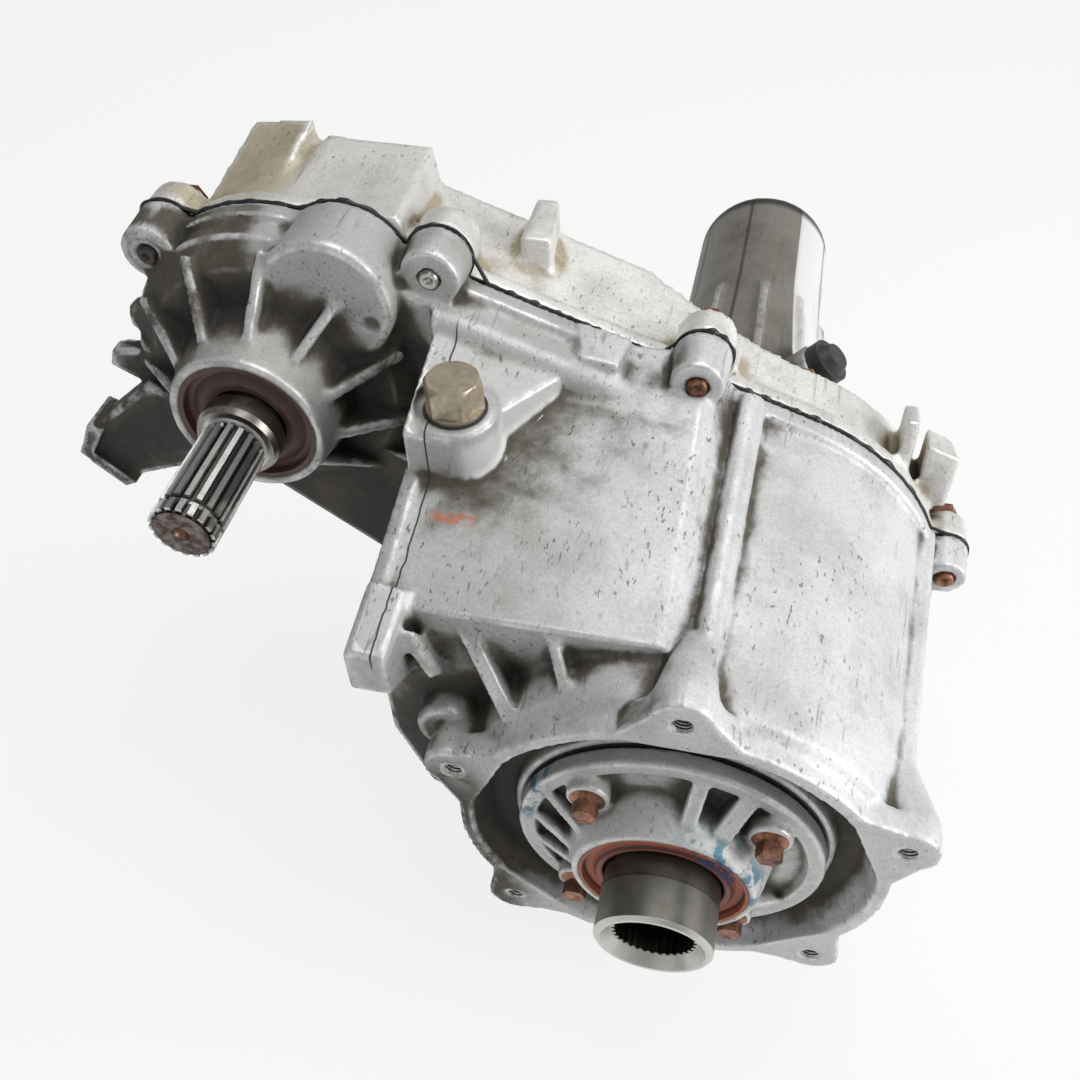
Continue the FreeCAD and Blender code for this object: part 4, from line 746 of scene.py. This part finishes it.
def rubber(name, colour, rough, dusty, dust=(0.3, 0.24, 0.2)):
    """Moulded rubber with a film of dust."""
    made, tree, shader = material(name)
    spot = add(tree, "TexCoord", 3)
    film = span(tree, cloud(tree, spot, 130, 5, 0.7), 0.4, 0.7)
    tree.links.new(blend(tree, product(tree, film, dusty), colour, dust), shader.inputs["Base Color"])
    shader.inputs["Roughness"].default_value = rough
    bump(tree, shader, cloud(tree, spot, 900, 2), 0.2, 0.0002)
    return made


red_rubber = rubber("terracotta rubber", (0.5, 0.15, 0.08), 0.55, 0.45, (0.2, 0.09, 0.06))
dress(["input_seal"], red_rubber)
seal_tree = red_rubber.node_tree
seal_shader = seal_tree.nodes["Principled BSDF"]
across, along, up = position(seal_tree)
OUTER_GROOVE, INNER_GROOVE, LIP_RADIUS = 0.0355, 0.0304, 0.0284
seal_radius = off_axis(seal_tree, across, up)
# painted shade: each groove ring and the gap inside the lip are painted near black
outer_groove = span(seal_tree, gap(seal_tree, seal_radius, OUTER_GROOVE), 0.0006, 0.0002)
inner_groove = span(seal_tree, gap(seal_tree, seal_radius, INNER_GROOVE), 0.0009, 0.0003)
groove_shade = sums(seal_tree, "MAXIMUM", outer_groove, inner_groove)
groove_shade = sums(seal_tree, "MAXIMUM", groove_shade, span(seal_tree, seal_radius, LIP_RADIUS, 0.0274))
seal_colour = blend(seal_tree, product(seal_tree, groove_shade, 0.85),
                    seal_shader.inputs["Base Color"].links[0].from_socket, (0.03, 0.02, 0.025))
blue_side = product(seal_tree, span(seal_tree, across, 0.002, 0.012), span(seal_tree, up, 0.006, 0.014))
blue_wipe = span(seal_tree, cloud(seal_tree, add(seal_tree, "TexCoord", 3), 130, 4, 0.6), 0.47, 0.55, 0, 0.8)
seal_colour = blend(seal_tree, product(seal_tree, blue_side, blue_wipe), seal_colour, (0.02, 0.05, 0.16))
seal_tree.links.new(seal_colour, seal_shader.inputs["Base Color"])

# ------------------------------------------------------- front output shaft
# The bright forged output shaft with its wide spline, the pressed slinger that
# keeps grit off the seal, and the dark seal itself.

SPLINE_ROOT, SPLINE_END, DRILLED_RADIUS = 0.0132, 0.0434, 0.0039
spline_steel = steel("bright splined steel", (0.64, 0.64, 0.62), 0.3, 0.3, (30, 2, 30), 1.0, stained=0.35)
dress(["front_output_shaft", "slinger_ring"], spline_steel)
spline_tree = spline_steel.node_tree
spline_shader = spline_tree.nodes["Principled BSDF"]
from_axis = add(spline_tree, "Mapping", 0, {0: add(spline_tree, "TexCoord", 3),
                                            1: (-OUTPUT[0], 0, -OUTPUT[1]), 3: (1, 0, 1)})
radius = add(spline_tree, "VectorMath", 1, {0: from_axis}, operation="LENGTH")
# painted shade: the roots between the spline teeth are painted near black
root = span(spline_tree, radius, 0.0148, SPLINE_ROOT, 0, 0.9)
root = product(spline_tree, root, span(spline_tree, radius, 0.0126, 0.0129))
spline_colour = blend(spline_tree, root, spline_shader.inputs["Base Color"].links[0].from_socket,
                      (0.02, 0.018, 0.015))
depth = position(spline_tree)[1]
oxide = cloud(spline_tree, add(spline_tree, "TexCoord", 3), 240, 4, 0.6)
oxide = span(spline_tree, oxide, 0.35, 0.65, 0.75, 1)
end_face = product(spline_tree, span(spline_tree, depth, SPLINE_END, 0.0429), oxide)
spline_colour = blend(spline_tree, end_face, spline_colour, (0.055, 0.032, 0.024))
drilled = product(spline_tree, span(spline_tree, radius, DRILLED_RADIUS, 0.0036),
                  span(spline_tree, depth, 0.06, 0.055))
spline_colour = blend(spline_tree, product(spline_tree, drilled, 0.8), spline_colour, (0.4, 0.22, 0.14))
collar_film = product(spline_tree, span(spline_tree, radius, 0.0158, 0.017), oxide)
collar_film = product(spline_tree, collar_film, 0.75)
spline_colour = blend(spline_tree, collar_film, spline_colour, (0.15, 0.12, 0.095))
spline_tree.links.new(spline_colour, spline_shader.inputs["Base Color"])
dress(["front_output_seal"], rubber("maroon rubber", (0.085, 0.04, 0.032), 0.5, 0.5, (0.14, 0.085, 0.065)))

# --------------------------------------------------------------- detent plug
# The large hex plug that closes the detent bore, in yellow-brown zinc, on a
# black rubber ring.

zinc = steel("yellow-brown zinc", (0.62, 0.53, 0.4), 0.34, 0.3, (1, 1, 1), 0.7,
             stain=(0.17, 0.13, 0.085), stained=0.6, blot=120)
dress(["detent_plug"], zinc)
black_rubber = rubber("black rubber", (0.025, 0.025, 0.027), 0.55, 0.3, (0.1, 0.09, 0.08))
dress(["plug_o_ring", "tail_seal"], black_rubber)

# --------------------------------------------------------------- detent coil
# The spring that holds the detent plunger down on the shift sector: round music
# wire wound at one pitch.

WIRE = 0.00062
COIL_TURNS, COIL_STEPS, WIRE_SIDES = 5.95, 420, 12
coil_low, coil_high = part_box("detent_spring")
coil_middle = (coil_low + coil_high) / 2
coil_height = coil_high.z - coil_low.z
turned_by = np.linspace(0, 2 * math.pi * COIL_TURNS, COIL_STEPS)[:, None]
wire_turn = np.linspace(0, 2 * math.pi, WIRE_SIDES, endpoint=False)[None, :]
taper = np.ones((COIL_STEPS, 1))
taper[[0, -1]] = 0
from_line = (coil_high.x - coil_low.x) / 2 - WIRE + WIRE * taper * np.cos(wire_turn)
rise = coil_low.z + WIRE + (coil_height - 2 * WIRE) * turned_by / turned_by[-1]
coil_points = np.stack([coil_middle.x + from_line * np.cos(turned_by),
                        coil_middle.y + from_line * np.sin(turned_by),
                        rise + WIRE * taper * np.sin(wire_turn)], -1).reshape(-1, 3)
music_wire = steel("music wire", (0.4, 0.4, 0.4), 0.3, 0.2, (1, 1, 1), 0.95)
coil = surface("detent_coil", [(coil_points, (COIL_STEPS, WIRE_SIDES), False)], "case", music_wire)
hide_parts("detent_spring")
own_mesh(coil)

# -------------------------------------------------- gears, chain and the rest
# The pieces inside the case: ground steel gears and shafts, the oiled chain,
# bronze bushes, aluminium forks and pump, and moulded plastic parts.

ground = steel("ground gear steel", (0.5, 0.5, 0.5), 0.3, 0.2, (2, 30, 2), 0.95)
oiled = steel("oiled chain steel", (0.24, 0.24, 0.24), 0.35, 0.3, (1, 1, 1), 0.9)
bronze = steel("bush bronze", (0.62, 0.44, 0.22), 0.35, 0.25, (2, 40, 2), 0.9)
die_cast = steel("die-cast aluminium", (0.62, 0.62, 0.61), 0.5, 0.15, (1, 1, 1), 0.6)
plastic = rubber("moulded plastic", (0.03, 0.03, 0.032), 0.45, 0.2, (0.12, 0.11, 0.1))
by_class = {"gear_steel": ground, "bearing_steel": ground, "tube_steel": ground, "magnet_grey": oiled,
            "chain_steel": oiled, "bush_bronze": bronze, "fork_aluminium": die_cast, "plastic_black": plastic}
for entry in frame["record"]["subparts"]:
    if entry["material_slot"] in by_class:
        dress([entry["node"]], by_class[entry["material_slot"]])

# --------------------------------------------------------- stage, lamps, camera
# A pale floor and soft studio lamps: a broad one above, one at the right side
# and a weak one in front, with a plain grey surround for the metal to reflect.

low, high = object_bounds()
middle = (low + high) / 2
FLOOR_REACH, FLOOR_GAP, FLOOR_GLOW = 6.0, 0.001, 0.82
floor_mesh = bpy.data.meshes.new("floor")
floor_corners = [(x * FLOOR_REACH, y * FLOOR_REACH, 0) for x, y in ((-1, -1), (1, -1), (1, 1), (-1, 1))]
floor_mesh.from_pydata(floor_corners, [], [(0, 1, 2, 3)])
floor_mesh.transform(Matrix.Translation((middle.x, middle.y, low.z - FLOOR_GAP)))
floor = bpy.data.objects.new("floor", floor_mesh)
bpy.context.scene.collection.objects.link(floor)
pale_floor, floor_tree, floor_shader = material("pale floor")
floor_shader.inputs["Base Color"].default_value = (0.8, 0.8, 0.8, 1)
floor_shader.inputs["Roughness"].default_value = 0.9
rays = floor_tree.nodes.new("ShaderNodeLightPath").outputs
seen = sums(floor_tree, "MAXIMUM", rays["Is Camera Ray"], rays["Is Glossy Ray"])
glow = add(floor_tree, "Emission", 0, {"Color": (1, 1, 1, 1), "Strength": 1.0})
mixed = add(floor_tree, "MixShader", 0, {0: product(floor_tree, seen, FLOOR_GLOW),
                                         1: floor_shader.outputs[0], 2: glow})
floor_tree.links.new(mixed, floor_tree.nodes["Material Output"].inputs["Surface"])
floor_mesh.materials.append(pale_floor)

world = bpy.data.worlds.new("surround")
bpy.context.scene.world = world
world.use_nodes = True
sky = world.node_tree
backdrop = sky.nodes["Background"]
rays = sky.nodes.new("ShaderNodeLightPath").outputs
SURROUND, WHITE = (0.27, 0.275, 0.285), (1.0, 1.0, 1.0)
sky.links.new(blend(sky, rays["Is Camera Ray"], SURROUND, WHITE), backdrop.inputs["Color"])
backdrop.inputs["Strength"].default_value = 1.0


def lamp(name, place_at, aim, width, power):
    """A square studio lamp that faces a point."""
    data = bpy.data.lights.new(name, "AREA")
    data.size = width
    data.energy = power
    made = bpy.data.objects.new(name, data)
    bpy.context.scene.collection.objects.link(made)
    made.location = place_at
    made.rotation_mode = "QUATERNION"
    made.rotation_quaternion = (aim - made.location).to_track_quat("-Z", "Y")


lamp("overhead", (0.15, 0.45, 1.5), middle, 1.1, 12)
lamp("right side", (1.4, 0.0, 0.6), middle, 0.9, 16)
lamp("front fill", (-0.6, -1.3, 0.5), middle, 1.2, 2.2)

camera = bpy.data.objects.new("camera", bpy.data.cameras.new("camera"))
bpy.context.scene.collection.objects.link(camera)
camera.data.lens = 36.834
camera.data.sensor_width = 36.0
camera.data.clip_start = 0.01
camera.matrix_world = Matrix(((0.97486, -0.14262, 0.17121, 0.00929),
                              (0.22068, 0.72433, -0.65318, -0.23514),
                              (-0.03086, 0.67454, 0.73759, 0.46527),
                              (0, 0, 0, 1)))
bpy.context.scene.camera = camera
bpy.context.scene.view_settings.view_transform = "Standard"
